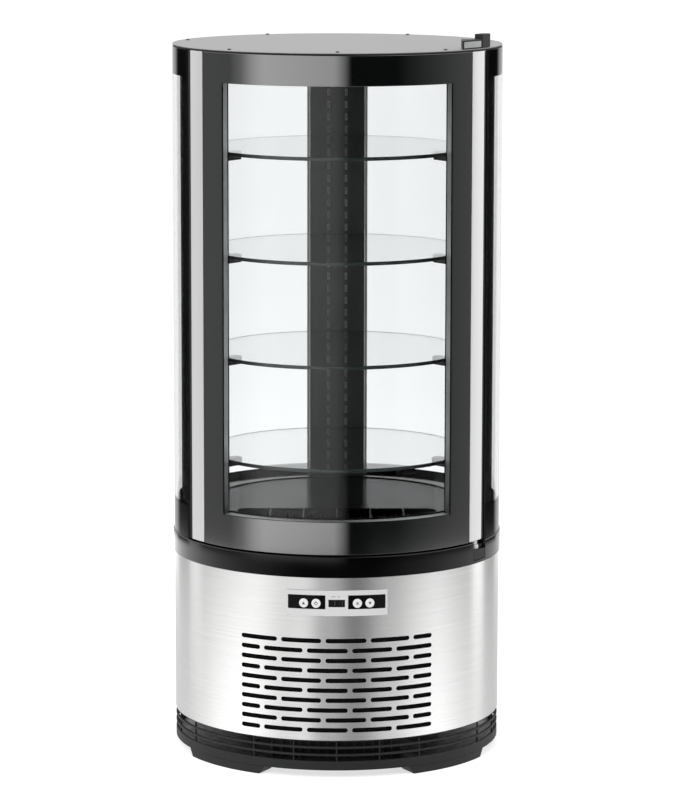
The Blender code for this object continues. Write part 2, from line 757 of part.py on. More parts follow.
def control_panel():
    """Curved fascia over the window of the shell, with the buttons, the display and the module behind."""
    inside = SHELL_RADIUS + CURVED_GAP
    outside = inside + FASCIA_THICKNESS
    fascia = add_part(
        "control_fascia",
        slab(inside, outside, -FASCIA_HALF_ANGLE, FASCIA_HALF_ANGLE, FASCIA_LOW, FASCIA_HIGH),
        "pale_plastic",
    )
    holes = []
    for index, bearing in enumerate(BUTTON_BEARINGS):
        outer = outside + BUTTON_PROUD
        holes.append(
            rod(
                BUTTON_RADIUS + BUTTON_CLEARANCE,
                at(inside - OVERRUN, bearing, CONTROL_HEIGHT),
                at(outside + OVERRUN, bearing, CONTROL_HEIGHT),
            )
        )
        button = rod(
            BUTTON_RADIUS,
            at(outer - BUTTON_LENGTH, bearing, CONTROL_HEIGHT),
            at(outer, bearing, CONTROL_HEIGHT),
        )
        add_part(f"button_{index + 1}", button, "white_plastic", at(outer, bearing, CONTROL_HEIGHT))
    half = DISPLAY_ANGLE / 2
    margin = math.degrees(GAP / inside)
    low, high = CONTROL_HEIGHT - DISPLAY_HEIGHT / 2, CONTROL_HEIGHT + DISPLAY_HEIGHT / 2
    holes.append(
        slab(inside - OVERRUN, outside + OVERRUN, -half - margin, half + margin, low - GAP, high + GAP)
    )
    cut(fascia, pool(holes))
    lens = slab(inside, outside + DISPLAY_PROUD, -half, half, low, high)
    add_part("display_lens", lens, "display")


def control_module():
    """Circuit module behind the fascia, on two ribs that fit the inside of the shell."""
    middle = CONTROL_HEIGHT
    front = SHELL_RADIUS - MODULE_INSET
    board = block(
        (-MODULE_WIDTH / 2, -front, middle - MODULE_HEIGHT / 2),
        (MODULE_WIDTH / 2, -front + MODULE_THICKNESS, middle + MODULE_HEIGHT / 2),
    )
    module = add_part("control_module", board, "board")
    outer = SHELL_RADIUS - SHELL_WALL - CURVED_GAP
    rest = MODULE_HEIGHT / 2 - GAP
    ribs = [
        slab(front - OVERLAP, outer, -MODULE_HALF_ANGLE, MODULE_HALF_ANGLE, low, low + MODULE_RIB)
        for low in (middle - rest, middle + rest - MODULE_RIB)
    ]
    join(module, pool(ribs))


def collar_ring():
    """Gloss collar whose deck carries the tub, the posts, the glass and the lower hinge."""
    inner = TUB_NECK + CURVED_GAP
    edge = COLLAR_RADIUS - COLLAR_EDGE
    corner = [
        (
            edge + COLLAR_EDGE * math.cos(math.radians(90 * step / CORNER_STEPS)),
            COLLAR_HIGH - COLLAR_EDGE + COLLAR_EDGE * math.sin(math.radians(90 * step / CORNER_STEPS)),
        )
        for step in range(CORNER_STEPS + 1)
    ]
    profile = [
        (COLLAR_RADIUS, COLLAR_LOW),
        *corner,
        (inner, COLLAR_HIGH),
        (inner, COLLAR_HIGH - COLLAR_DECK),
        (COLLAR_RADIUS - COLLAR_WALL, COLLAR_HIGH - COLLAR_DECK),
        (COLLAR_RADIUS - COLLAR_WALL, COLLAR_LOW),
    ]
    collar = add_part("collar_ring", turned(profile), "gloss_black")
    half = HINGE_SEAT_ANGLE / 2 + HINGE_SEAT_GAP_ANGLE
    notch = slab(
        COLLAR_RADIUS - HINGE_SEAT_DEPTH - CURVED_GAP,
        COLLAR_RADIUS + OVERRUN,
        HINGE_BEARING - half,
        HINGE_BEARING + half,
        SEAT_LOW - GAP,
        COLLAR_HIGH + OVERRUN,
    )
    cut(collar, notch)


def lower_hinge():
    """Bearing block in the notch of the collar, and the pin that carries the door."""
    half = HINGE_SEAT_ANGLE / 2
    seat = slab(
        COLLAR_RADIUS - HINGE_SEAT_DEPTH,
        COLLAR_RADIUS,
        HINGE_BEARING - half,
        HINGE_BEARING + half,
        SEAT_LOW,
        SEAT_HIGH,
    )
    add_part("lower_hinge_bracket", seat, "matt_black")
    flange = rod(
        PIN_FLANGE_RADIUS,
        at(HINGE_RADIUS, HINGE_BEARING, SEAT_HIGH + GAP),
        at(HINGE_RADIUS, HINGE_BEARING, DOOR_LOW - GAP),
    )
    pin = add_part("lower_hinge_pin", flange, "aluminium")
    join(
        pin,
        rod(
            PIN_RADIUS,
            at(HINGE_RADIUS, HINGE_BEARING, DOOR_LOW - OVERLAP),
            at(HINGE_RADIUS, HINGE_BEARING, DOOR_LOW + PIN_ENGAGEMENT),
        ),
    )


def line_spot(side, height=0.0):
    """Where a refrigerant line passes through the bottom of the tub, on one side of the evaporator."""
    return Vector((side * (EVAPORATOR_END + LINE_RUN), LINE_FRONT_INSET - EVAPORATOR_FRONT, height))


def line_hole(side):
    """Cutter for a refrigerant line in the bottom of the tub."""
    low, high = TUB_LOW - OVERRUN, WELL_FLOOR + OVERRUN
    return rod(LINE_RADIUS + LINE_HOLE_CLEARANCE, line_spot(side, low), line_spot(side, high))


def insulated_tub():
    """Insulated tub with a well for the evaporator and a passage to the air duct."""
    profile = [
        (0, TUB_LOW),
        (TUB_NECK, TUB_LOW),
        (TUB_NECK, TUB_SHOULDER),
        (TUB_RADIUS, TUB_SHOULDER),
        (TUB_RADIUS, TUB_RIM),
        (FLOOR_RADIUS + CURVED_GAP, TUB_RIM),
        (FLOOR_RADIUS + CURVED_GAP, LEDGE),
        (WELL_RADIUS, LEDGE),
        (WELL_RADIUS, WELL_FLOOR),
        (0, WELL_FLOOR),
    ]
    tub = add_part("insulated_tub", turned(profile), "matt_black")
    low = TUB_SHOULDER + PASSAGE_FLOOR
    front = DUCT_FRONT + DUCT_WALL
    passage = [
        Vector((WELL_RADIUS - OVERRUN, low, 0)),
        Vector((front + PASSAGE_DEPTH, low, 0)),
        Vector((front + PASSAGE_DEPTH, TUB_RIM + OVERRUN, 0)),
        Vector((front, TUB_RIM + OVERRUN, 0)),
        Vector((front, low + PASSAGE_HEIGHT, 0)),
        Vector((WELL_RADIUS - OVERRUN, low + PASSAGE_HEIGHT, 0)),
    ]
    cut(tub, place(prism(passage, -PASSAGE_WIDTH / 2, PASSAGE_WIDTH / 2), SIDEWAYS))
    cut(tub, pool([line_hole(-1), line_hole(1)]))


def inlet_corner():
    """Centre of the round corner at the right-hand end of the air inlet."""
    rise = INLET_BACK + INLET_CORNER
    reach = FLOOR_RADIUS - INLET_MARGIN - INLET_CORNER
    return math.sqrt(reach**2 - rise**2), rise


def inlet_outline():
    """Outline of the air inlet: straight at the back, round at the front, with round back corners."""
    radius = FLOOR_RADIUS - INLET_MARGIN
    run, rise = inlet_corner()
    lean = math.degrees(math.atan2(run, rise))
    left = round_arc(Vector((-run, -rise, 0)), INLET_CORNER, 90, 270 - lean, CORNER_STEPS)
    right = round_arc(Vector((run, -rise, 0)), INLET_CORNER, lean - 90, 90, CORNER_STEPS)
    return left + arc(radius, -lean, lean)[1:-1] + right


def cabin_floor():
    """Lift-out floor plate on a rim, with a ribbed air inlet towards the door."""
    base = LEDGE + GAP
    under = FLOOR_TOP - FLOOR_THICKNESS
    profile = [
        (0, FLOOR_TOP),
        (FLOOR_RADIUS, FLOOR_TOP),
        (FLOOR_RADIUS, base),
        (FLOOR_RADIUS - FLOOR_RIM, base),
        (FLOOR_RADIUS - FLOOR_RIM, under),
        (0, under),
    ]
    plate = add_part("cabin_floor", turned(profile), "gloss_black")
    cut(plate, prism(inlet_outline(), base - OVERRUN, FLOOR_TOP + OVERRUN))
    half = INLET_RIB / 2
    end = inlet_corner()[0] + INLET_CORNER
    ribs = []
    for index in range(1, INLET_RIB_COUNT + 1):
        middle = end * (2 * index / (INLET_RIB_COUNT + 1) - 1)
        front = math.sqrt((FLOOR_RADIUS - INLET_MARGIN) ** 2 - middle**2) + OVERLAP
        ribs.append(
            block(
                (middle - half, -front, under + GAP),
                (middle + half, -INLET_BACK + OVERLAP, FLOOR_TOP - GAP),
            )
        )
    join(plate, pool(ribs))


def fin_block(width, depth, height, core, fins, low, front):
    """A finned coil: upright fins on a core, extruded from one outline."""
    gap = (width - fins * FIN_THICKNESS) / (fins - 1)
    middle = front + depth / 2
    near, far = [], []
    for index in range(fins):
        start = -width / 2 + index * (FIN_THICKNESS + gap)
        end = start + FIN_THICKNESS
        near += [Vector((start, front, 0)), Vector((end, front, 0))]
        far += [Vector((start, front + depth, 0)), Vector((end, front + depth, 0))]
        if index < fins - 1:
            near += [Vector((end, middle - core / 2, 0)), Vector((end + gap, middle - core / 2, 0))]
            far += [Vector((end, middle + core / 2, 0)), Vector((end + gap, middle + core / 2, 0))]
    return prism(near + far[::-1], low, low + height)


def fan_wheel(radius, hub_radius, hub_depth, chord):
    """Hub and pitched blades about the Z axis, centred on the origin, as two shapes to join."""
    hub = rod(hub_radius, Vector((0, 0, -hub_depth / 2)), Vector((0, 0, hub_depth / 2)))
    root = hub_radius * FAN_ROOT_SHARE
    tip = math.sqrt(radius**2 - (chord / 2) ** 2)
    blades = []
    for index in range(FAN_BLADE_COUNT):
        blade = block(
            (root, -chord / 2, -FAN_BLADE_THICKNESS / 2),
            (tip, chord / 2, FAN_BLADE_THICKNESS / 2),
        )
        pitch = Matrix.Rotation(math.radians(FAN_BLADE_ANGLE), 4, "X")
        turn = Matrix.Rotation(math.tau * index / FAN_BLADE_COUNT, 4, "Z")
        blades.append(place(blade, turn @ pitch))
    return hub, pool(blades)


def fan_arms(radius, hub_radius, thickness):
    """Arms and hub plate that hold a fan, about the Z axis, from height zero up."""
    hub = rod(hub_radius, Vector((0, 0, 0)), Vector((0, 0, thickness)))
    arms = []
    for index in range(ARM_COUNT):
        arm = block(
            (hub_radius * FAN_ROOT_SHARE, -ARM_WIDTH / 2, GAP),
            (radius + OVERLAP, ARM_WIDTH / 2, thickness - GAP),
        )
        turn = math.radians(360 * index / ARM_COUNT + ARM_TURN_ANGLE)
        arms.append(place(arm, Matrix.Rotation(turn, 4, "Z")))
    return hub, pool(arms)


def compressor_spot(height=0.0):
    """The middle of the compressor."""
    return at(SHELL_RADIUS - COMPRESSOR_INSET, COMPRESSOR_BEARING, height)


def compressor():
    """Welded compressor pot with feet on grommets and a terminal box."""
    radius, seam = COMPRESSOR_RADIUS, COMPRESSOR_LOW + COMPRESSOR_HEIGHT / 2
    rise = COMPRESSOR_SHOULDER
    run = radius - COMPRESSOR_CROWN
    turns = [math.radians(90 * step / CORNER_STEPS) for step in range(CORNER_STEPS + 1)]
    dome = [(COMPRESSOR_CROWN + run * math.cos(turn), rise * math.sin(turn)) for turn in turns]
    profile = [
        (0, COMPRESSOR_LOW),
        *[(across, COMPRESSOR_LOW + rise - up) for across, up in reversed(dome)],
        (radius, seam - COMPRESSOR_SEAM / 2),
        (radius + COMPRESSOR_SEAM, seam),
        (radius, seam + COMPRESSOR_SEAM / 2),
        *[(across, COMPRESSOR_TOP - rise + up) for across, up in dome],
        (0, COMPRESSOR_TOP),
    ]
    spot = Matrix.Translation(compressor_spot())
    pot = add_part("compressor", place(turned(profile, MEDIUM_FACETS), spot), "matt_black")
    feet = block(
        (-FEET_LENGTH / 2, -FEET_WIDTH / 2, FEET_LOW),
        (FEET_LENGTH / 2, FEET_WIDTH / 2, COMPRESSOR_LOW + OVERLAP),
    )
    join(pot, place(feet, spot))
    across = FEET_LENGTH / 2 - GROMMET_RADIUS
    along = FEET_WIDTH / 2 - GROMMET_RADIUS
    grommets = [
        rod(GROMMET_RADIUS - OVERLAP, Vector((x, y, MACHINE_LOW)), Vector((x, y, FEET_LOW + OVERLAP)))
        for x in (-across, across)
        for y in (-along, along)
    ]
    join(pot, place(pool(grommets), spot))
    terminal = block(
        (radius - TERMINAL_DEPTH / 2, -TERMINAL_WIDTH / 2, seam + COMPRESSOR_SEAM),
        (radius + TERMINAL_DEPTH / 2, TERMINAL_WIDTH / 2, seam + COMPRESSOR_SEAM + TERMINAL_HEIGHT),
    )
    join(pot, place(terminal, spot))


def condenser_group():
    """Finned condenser behind the front vents, with its shroud, motor and fan."""
    coil = fin_block(
        CONDENSER_WIDTH,
        CONDENSER_DEPTH,
        CONDENSER_HEIGHT,
        CONDENSER_CORE,
        CONDENSER_FIN_COUNT,
        MACHINE_LOW,
        -CONDENSER_FRONT,
    )
    add_part("condenser", coil, "aluminium")
    facing = Matrix.Rotation(math.radians(90), 4, "X")
    bore = FAN_RADIUS + FAN_CLEARANCE
    frame = block(
        (-CONDENSER_WIDTH / 2, SHROUD_FRONT, MACHINE_LOW),
        (CONDENSER_WIDTH / 2, SHROUD_BACK, MACHINE_LOW + CONDENSER_HEIGHT),
    )
    shroud = add_part("fan_shroud", frame, "matt_black")
    opening = rod(
        bore,
        Vector((0, SHROUD_FRONT - OVERRUN, FAN_HEIGHT)),
        Vector((0, SHROUD_BACK + OVERRUN, FAN_HEIGHT)),
        MEDIUM_FACETS,
    )
    cut(shroud, opening)
    hub, arms = fan_arms(bore, MOTOR_RADIUS, ARM_THICKNESS)
    rear = Matrix.Translation((0, SHROUD_BACK - OVERLAP, FAN_HEIGHT)) @ facing
    join(shroud, place(hub, rear))
    join(shroud, place(arms, rear))
    back = SHROUD_BACK - OVERLAP + GAP
    motor = rod(MOTOR_RADIUS, Vector((0, back, FAN_HEIGHT)), Vector((0, back + MOTOR_DEPTH, FAN_HEIGHT)))
    add_part("fan_motor", motor, "zinc")
    middle = SHROUD_BACK - OVERLAP - ARM_THICKNESS - GAP - FAN_HUB_DEPTH / 2
    axis = Vector((0, middle, FAN_HEIGHT))
    hub, blades = fan_wheel(FAN_RADIUS, FAN_HUB_RADIUS, FAN_HUB_DEPTH, FAN_BLADE_CHORD)
    spot = Matrix.Translation(axis) @ facing
    wheel = add_part("fan_blade", place(hub, spot), "matt_black", axis)
    join(wheel, place(blades, spot))


def drip_tray():
    """Open tray on the base plate that takes the defrost water."""
    pot = compressor_spot()
    left = pot.x + FEET_LENGTH / 2 + TRAY_SIDE_GAP
    front, back = pot.y - TRAY_DEPTH / 2, pot.y + TRAY_DEPTH / 2
    right = math.sqrt((SHELL_RADIUS - TRAY_CORNER_MARGIN) ** 2 - back**2)
    low, high = MACHINE_LOW, MACHINE_LOW + TRAY_HEIGHT
    tray = add_part("drip_tray", block((left, front, low), (right, back, high)), "pale_plastic")
    wall = TRAY_WALL
    cut(tray, block((left + wall, front + wall, low + wall), (right - wall, back - wall, high + OVERRUN)))


def well_line_start(side):
    """Corners of a line from the end of the evaporator to its hole in the bottom of the tub."""
    height = WELL_LOW + EVAPORATOR_HEIGHT - LINE_STUB
    hole = line_spot(side)
    return [
        Vector((side * (EVAPORATOR_END + GAP), hole.y, height)),
        Vector((hole.x - side * LINE_RADIUS, hole.y, height)),
        line_spot(side, height - LINE_STUB),
        line_spot(side, WELL_FLOOR),
        line_spot(side, TUB_LOW - LINE_RADIUS),
        line_spot(side, TUB_LOW - LINE_OFFSET),
    ]


def refrigerant_lines():
    """Drier on the condenser, and the lines that join the compressor, the condenser and the evaporator."""
    coil = Vector((CONDENSER_WIDTH / 2 - LINE_INSET, -CONDENSER_FRONT + CONDENSER_DEPTH / 2, 0))
    profile = [
        (0, DRIER_LOW),
        (LINE_RADIUS, DRIER_LOW),
        (DRIER_RADIUS, DRIER_LOW + DRIER_CONE),
        (DRIER_RADIUS, DRIER_HIGH - DRIER_CONE),
        (LINE_RADIUS, DRIER_HIGH),
        (0, DRIER_HIGH),
    ]
    drier = place(turned(profile, SMALL_FACETS), Matrix.Translation(coil))
    add_part("filter_drier", drier, "copper")
    top = coil + Vector((0, 0, DRIER_HIGH + GAP))
    liquid = well_line_start(1) + [
        top + Vector((LINE_OFFSET / 2, LINE_OFFSET, LINE_LOW_LOOP)),
        top + Vector((0, 0, LINE_OFFSET / 2)),
        top,
    ]
    add_part("liquid_line", pipe(smooth_route(liquid), LINE_RADIUS), "copper")
    space = TUB_LOW - COMPRESSOR_TOP
    stub, loop, crossing = (
        Vector((0, 0, space * share)) for share in (LINE_STUB_SHARE, LINE_LOOP_SHARE, LINE_CROSSING_SHARE)
    )
    pot = compressor_spot(COMPRESSOR_TOP + GAP)
    port = pot - Vector((LINE_OFFSET, 0, 0))
    suction = well_line_start(-1) + [
        port + crossing - Vector((LINE_OFFSET, COMPRESSOR_RADIUS, 0)),
        port + loop,
        port + stub,
        port,
    ]
    add_part("suction_line", pipe(smooth_route(suction), LINE_RADIUS), "copper")
    port = pot + Vector((LINE_OFFSET, 0, 0))
    inlet = Vector((-coil.x, coil.y, DRIER_LOW))
    discharge = [
        port,
        port + stub,
        port + loop - Vector((0, LINE_OFFSET, 0)),
        Vector((pot.x / 2, coil.y / 2, pot.z)) + loop,
        inlet + loop + Vector((0, LINE_OFFSET, 0)),
        inlet + stub,
        inlet,
    ]
    add_part("discharge_line", pipe(smooth_route(discharge), LINE_RADIUS), "copper")


def evaporator_group():
    """Finned evaporator in the well, and the flat fan behind it."""
    coil = fin_block(
        EVAPORATOR_END * 2,
        EVAPORATOR_DEPTH,
        EVAPORATOR_HEIGHT,
        EVAPORATOR_CORE,
        EVAPORATOR_FIN_COUNT,
        WELL_LOW,
        -EVAPORATOR_FRONT,
    )
    add_part("evaporator", coil, "aluminium")
    half = CHILL_FRAME_SIDE / 2
    bore = CHILL_FAN_RADIUS + FAN_CLEARANCE
    middle = CHILL_FRAME_BACK - half
    body = block(
        (-half, middle - half, WELL_LOW),
        (half, middle + half, WELL_LOW + CHILL_FRAME_HEIGHT),
    )
    frame = add_part("evaporator_fan_frame", body, "matt_black")
    centre = Vector((0, middle, 0))
    opening = rod(
        bore,
        centre + Vector((0, 0, WELL_LOW - OVERRUN)),
        centre + Vector((0, 0, WELL_LOW + CHILL_FRAME_HEIGHT + OVERRUN)),
        MEDIUM_FACETS,
    )
    cut(frame, opening)
    hub, arms = fan_arms(bore, CHILL_HUB_RADIUS, ARM_THICKNESS)
    spot = Matrix.Translation(centre + Vector((0, 0, WELL_LOW + OVERLAP)))
    join(frame, place(hub, spot))
    join(frame, place(arms, spot))
    axis = centre + Vector((0, 0, WELL_LOW + OVERLAP + ARM_THICKNESS + GAP + CHILL_HUB_DEPTH / 2))
    hub, blades = fan_wheel(CHILL_FAN_RADIUS, CHILL_HUB_RADIUS, CHILL_HUB_DEPTH, CHILL_BLADE_CHORD)
    spot = Matrix.Translation(axis)
    wheel = add_part("evaporator_fan_blade", place(hub, spot), "matt_black", axis)
    join(wheel, place(blades, spot))


def rear_duct():
    """Black air column with two rows of short slots, and a ledge under each shelf."""
    half = DUCT_WIDTH / 2
    back = math.sqrt((INNER_PANE_RADIUS - INNER_PANE - CURVED_GAP) ** 2 - half**2)
    inner_half, inner = half - DUCT_WALL, DUCT_FRONT + DUCT_WALL
    outline = [
        Vector((-half, DUCT_FRONT, 0)),
        Vector((half, DUCT_FRONT, 0)),
        Vector((half, back, 0)),
        Vector((inner_half, back, 0)),
        Vector((inner_half, inner, 0)),
        Vector((-inner_half, inner, 0)),
        Vector((-inner_half, back, 0)),
        Vector((-half, back, 0)),
    ]
    duct = add_part("rear_duct", prism(outline, TUB_RIM + GAP, CEILING - GAP), "matt_black")
    ledges = []
    for top in SHELF_TOPS:
        high = top - SHELF_THICKNESS - GAP
        ledges.append(
            block(
                (-DUCT_LEDGE_WIDTH / 2, DUCT_FRONT - DUCT_LEDGE_REACH, high - DUCT_LEDGE_THICKNESS),
                (DUCT_LEDGE_WIDTH / 2, DUCT_FRONT + OVERLAP, high),
            )
        )
    join(duct, pool(ledges))
    middle = (TUB_RIM + CEILING) / 2
    slots = []
    for row in range(DUCT_SLOT_ROW_COUNT):
        height = middle + (row - (DUCT_SLOT_ROW_COUNT - 1) / 2) * DUCT_SLOT_ROW_SPACING
        if any(abs(height - top + SHELF_THICKNESS) < DUCT_SLOT_HEIGHT for top in SHELF_TOPS):
            continue
        for side in (-1, 1):
            across = side * DUCT_SLOT_COLUMN_SPACING / 2
            slots.append(
                block(
                    (across - DUCT_SLOT_WIDTH / 2, DUCT_FRONT - OVERRUN, height - DUCT_SLOT_HEIGHT / 2),
                    (across + DUCT_SLOT_WIDTH / 2, inner + OVERLAP, height + DUCT_SLOT_HEIGHT / 2),
                )
            )
    cut(duct, pool(slots))


def rear_panel():
    """Insulated panel that closes the cabin behind the air duct."""
    panel = slab(
        INNER_PANE_RADIUS - INNER_PANE,
        GLASS_RADIUS,
        180 - PANEL_HALF_ANGLE,
        180 + PANEL_HALF_ANGLE,
        PANE_LOW,
        PANE_HIGH,
    )
    add_part("rear_panel", panel, "matt_black")


def mirrored(shape):
    """The same shape on the left-hand side."""
    bmesh.ops.scale(shape, vec=(-1, 1, 1), verts=shape.verts)
    bmesh.ops.reverse_faces(shape, faces=shape.faces)
    return shape


def post_shapes():
    """Upright and sealing lip of the right-hand front post."""
    nose_end = POST_START + POST_NOSE_ANGLE
    hidden = GLASS_RADIUS - PANE - CURVED_GAP
    upright = prism(
        arc(GLASS_RADIUS, POST_START, nose_end)
        + arc(hidden, nose_end, POST_END)
        + arc(POST_INSIDE, POST_END, POST_START),
        PANE_LOW,
        PANE_HIGH,
    )
    lip_end = POST_END - POST_LIP_END_ANGLE
    lip = prism(
        arc(TUB_RADIUS, POST_START - POST_LIP_ANGLE, POST_START + POST_LIP_END_ANGLE)
        + arc(POST_INSIDE + OVERLAP, POST_START + POST_LIP_END_ANGLE, lip_end)
        + arc(TUB_RADIUS - POST_LIP, lip_end, POST_START - POST_LIP_ANGLE),
        TUB_RIM + GAP,
        CEILING - GAP,
    )
    return upright, lip


def glazing():
    """Front posts and the two curved double panes between them and the rear panel."""
    outer_start = POST_START + POST_NOSE_ANGLE + PANE_GAP_ANGLE
    end = 180 - PANEL_HALF_ANGLE - PANE_GAP_ANGLE
    for side in ("right", "left"):
        turn = mirrored if side == "left" else bmesh.types.BMesh.copy
        upright, lip = (turn(shape) for shape in post_shapes())
        post = add_part(f"{side}_post", upright, "matt_black")
        join(post, lip)
        outer = slab(GLASS_RADIUS - PANE, GLASS_RADIUS, outer_start, end, PANE_LOW, PANE_HIGH)
        add_part(f"{side}_outer_pane", turn(outer), "glass")
        inner = slab(
            INNER_PANE_RADIUS - INNER_PANE,
            INNER_PANE_RADIUS,
            POST_END + PANE_GAP_ANGLE,
            end,
            PANE_LOW,
            PANE_HIGH,
        )
        add_part(f"{side}_inner_pane", turn(inner), "glass")


def hinge_hole(low, high):
    """Cutter for the hinge pin."""
    return rod(
        PIN_RADIUS + BORE_CLEARANCE,
        at(HINGE_RADIUS, HINGE_BEARING, low),
        at(HINGE_RADIUS, HINGE_BEARING, high),
    )


def canopy():
    """Insulated canopy with a flange over the glass, the sheet cover on it and the lamp below it."""
    profile = [
        (0, CEILING),
        (TUB_RADIUS, CEILING),
        (TUB_RADIUS, FLANGE_LOW),
        (CANOPY_RADIUS, FLANGE_LOW),
        (CANOPY_RADIUS, FLANGE_HIGH),
        (0, FLANGE_HIGH),
    ]
    hood = add_part("top_hood", turned(profile), "matt_black")
    cut(hood, hinge_hole(FLANGE_LOW - OVERRUN, FLANGE_HIGH + OVERRUN))
    sheet = prism(arc(COVER_RADIUS, 0, 360)[:-1], COVER_LOW, COVER_TOP)
    cover = add_part("top_cover", sheet, "grey_paint")
    cut(cover, hinge_hole(COVER_LOW - OVERRUN, COVER_TOP + OVERRUN))
    front = TUB_RADIUS - LAMP_INSET
    half = math.sqrt((TUB_RADIUS - LAMP_END_MARGIN) ** 2 - front**2)
    lamp = block(
        (-half, -front, CEILING - GAP - LAMP_HEIGHT),
        (half, -front + LAMP_WIDTH, CEILING - GAP),
    )
    add_part("cabin_lamp", lamp, "lamp")


def shelves():
    """Round glass shelves that lie on two brackets and on the ledge of the duct."""
    for level, top in enumerate(SHELF_TOPS, start=1):
        low = top - SHELF_THICKNESS
        pane = prism(arc(SHELF_RADIUS, 0, 360)[:-1], low, top)
        add_part(f"glass_shelf_{level}", pane, "glass", Vector((0, 0, top)))
        outer = TUB_RADIUS - POST_LIP - CURVED_GAP
        for side in ("left", "right"):
            high = low - GAP
            tip = outer - BRACKET_REACH
            outline = [
                Vector((outer, high, 0)),
                Vector((tip, high, 0)),
                Vector((tip, high - BRACKET_TIP, 0)),
                Vector((outer, high - BRACKET_ROOT, 0)),
            ]
            wedge = prism(outline, -BRACKET_WIDTH / 2, BRACKET_WIDTH / 2)
            sign = -1 if side == "left" else 1
            stand = Matrix.Rotation(math.radians(90), 4, "X")
            turn = Matrix.Rotation(math.radians(sign * BRACKET_BEARING - 90), 4, "Z")
            add_part(f"{side}_shelf_bracket_{level}", place(wedge, turn @ stand), "matt_black")


def hinge_profile_outline():
    """Outline of the profile on the hinge side, with a round nose about the pivot."""
    pivot = at(HINGE_RADIUS, HINGE_BEARING)
    squares = GLASS_RADIUS**2 + HINGE_RADIUS**2 - HINGE_NOSE**2
    out = math.degrees(math.acos(squares / (2 * GLASS_RADIUS * HINGE_RADIUS)))
    corner = at(GLASS_RADIUS, HINGE_BEARING + out) - pivot
    start = math.degrees(math.atan2(corner.y, corner.x))
    end = HINGE_BEARING + 90
    nose = round_arc(pivot, HINGE_NOSE, start, end, NOSE_STEPS)
    return (
        arc(GLASS_RADIUS, PROFILE_START, HINGE_BEARING + out)
        + nose[1:-1]
        + arc(DOOR_INSIDE, HINGE_BEARING, PROFILE_START)
    )


def door():
    """Curved double door: two panes between two upright profiles and two rails, with a gasket behind."""
    pivot = at(HINGE_RADIUS, HINGE_BEARING)
    span = DOOR_PANE_ANGLE
    outer = slab(GLASS_RADIUS - PANE, GLASS_RADIUS, -span, span, DOOR_LOW, DOOR_HIGH)
    add_part("door_outer_pane", outer, "glass", pivot)
    inner = slab(DOOR_INSIDE, DOOR_INSIDE + DOOR_INNER_PANE, -span, span, DOOR_LOW, DOOR_HIGH)
    add_part("door_inner_pane", inner, "glass", pivot)
    handle = slab(DOOR_INSIDE, GLASS_RADIUS, -DOOR_HALF_ANGLE, -PROFILE_START, DOOR_LOW, DOOR_HIGH)
    add_part("door_handle_profile", handle, "aluminium", pivot)
    hinged = prism(hinge_profile_outline(), DOOR_LOW, DOOR_HIGH)
    profile = add_part("door_hinge_profile", hinged, "aluminium", pivot)
    cut(profile, hinge_hole(DOOR_LOW - OVERRUN, DOOR_LOW + PIN_ENGAGEMENT + OVERLAP))
    cut(profile, hinge_hole(DOOR_HIGH - PIN_ENGAGEMENT - OVERLAP, DOOR_HIGH + OVERRUN))
    rail_in = DOOR_INSIDE + DOOR_INNER_PANE + CURVED_GAP
    rail_out = GLASS_RADIUS - PANE - CURVED_GAP
    for name, low in (("bottom", DOOR_LOW), ("top", DOOR_HIGH - DOOR_RAIL_HEIGHT)):
        rail = slab(rail_in, rail_out, -span, span, low, low + DOOR_RAIL_HEIGHT)
        add_part(f"door_{name}_rail", rail, "matt_black", pivot)
    low, high = DOOR_LOW + GASKET_SETBACK, DOOR_HIGH - GASKET_SETBACK
    edge = DOOR_HALF_ANGLE - GASKET_EDGE_ANGLE
    seal = slab(POST_INSIDE, DOOR_INSIDE - CURVED_GAP, -edge, edge, low, high)
    gasket = add_part("door_gasket", seal, "rubber", pivot)
    window = edge - GASKET_ANGLE
    hollow = slab(
        POST_INSIDE - OVERRUN,
        DOOR_INSIDE + OVERRUN,
        -window,
        window,
        low + GASKET_RAIL,
        high - GASKET_RAIL,
    )
    cut(gasket, hollow)


def upper_hinge():
    """Bracket on the top cover, with the riser beside it and the pin that enters the door."""
    low = COVER_TOP + GAP
    end = HINGE_BEARING + BRACKET_END_ANGLE
    plate = slab(
        COVER_RADIUS - BRACKET_BLOCK_DEPTH,
        COVER_RADIUS,
        HINGE_BEARING - BRACKET_BLOCK_ANGLE,
        end,
        low,
        low + BRACKET_BLOCK_HEIGHT,
    )
    bracket = add_part("upper_hinge_bracket", plate, "matt_black")
    riser = slab(
        COVER_RADIUS - BRACKET_RISER_DEPTH,
        COVER_RADIUS - GAP,
        end - PANE_GAP_ANGLE,
        end + BRACKET_RISER_ANGLE,
        low,
        low + BRACKET_RISER_HEIGHT,
    )
    join(bracket, riser)
    join(
        bracket,
        rod(
            PIN_RADIUS,
            at(HINGE_RADIUS, HINGE_BEARING, DOOR_HIGH - PIN_ENGAGEMENT),
            at(HINGE_RADIUS, HINGE_BEARING, low + OVERLAP),
        ),
    )


clear_scene()
PARTS = new_collection("round_display_case")
GUIDES = new_collection("cutting_guides")
base_skirt()
base_plate()
steel_shell()
cable_gland()
control_panel()
control_module()
collar_ring()
lower_hinge()
compressor()
condenser_group()
drip_tray()
refrigerant_lines()
insulated_tub()
cabin_floor()
evaporator_group()
rear_duct()
rear_panel()
glazing()
canopy()
shelves()
door()
upper_hinge()
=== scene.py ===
# %% [markdown]
# # A round refrigerated display case
#
# The real thing is a brushed steel drum with the cooling machine in it, and a glazed cabin on top
# with a curved door. The model of its construction comes packed as a fixed frame, and this notebook
# dresses it: finer meshes for what is round or small, and a finish for every surface. All lengths
# are metres, +Z is up and the door faces -Y. A bearing is an angle in degrees from the front
# towards +X.

# %% Load the frame and keep its box
import json
import math

import bmesh
import bpy
from mathutils import Matrix, Vector


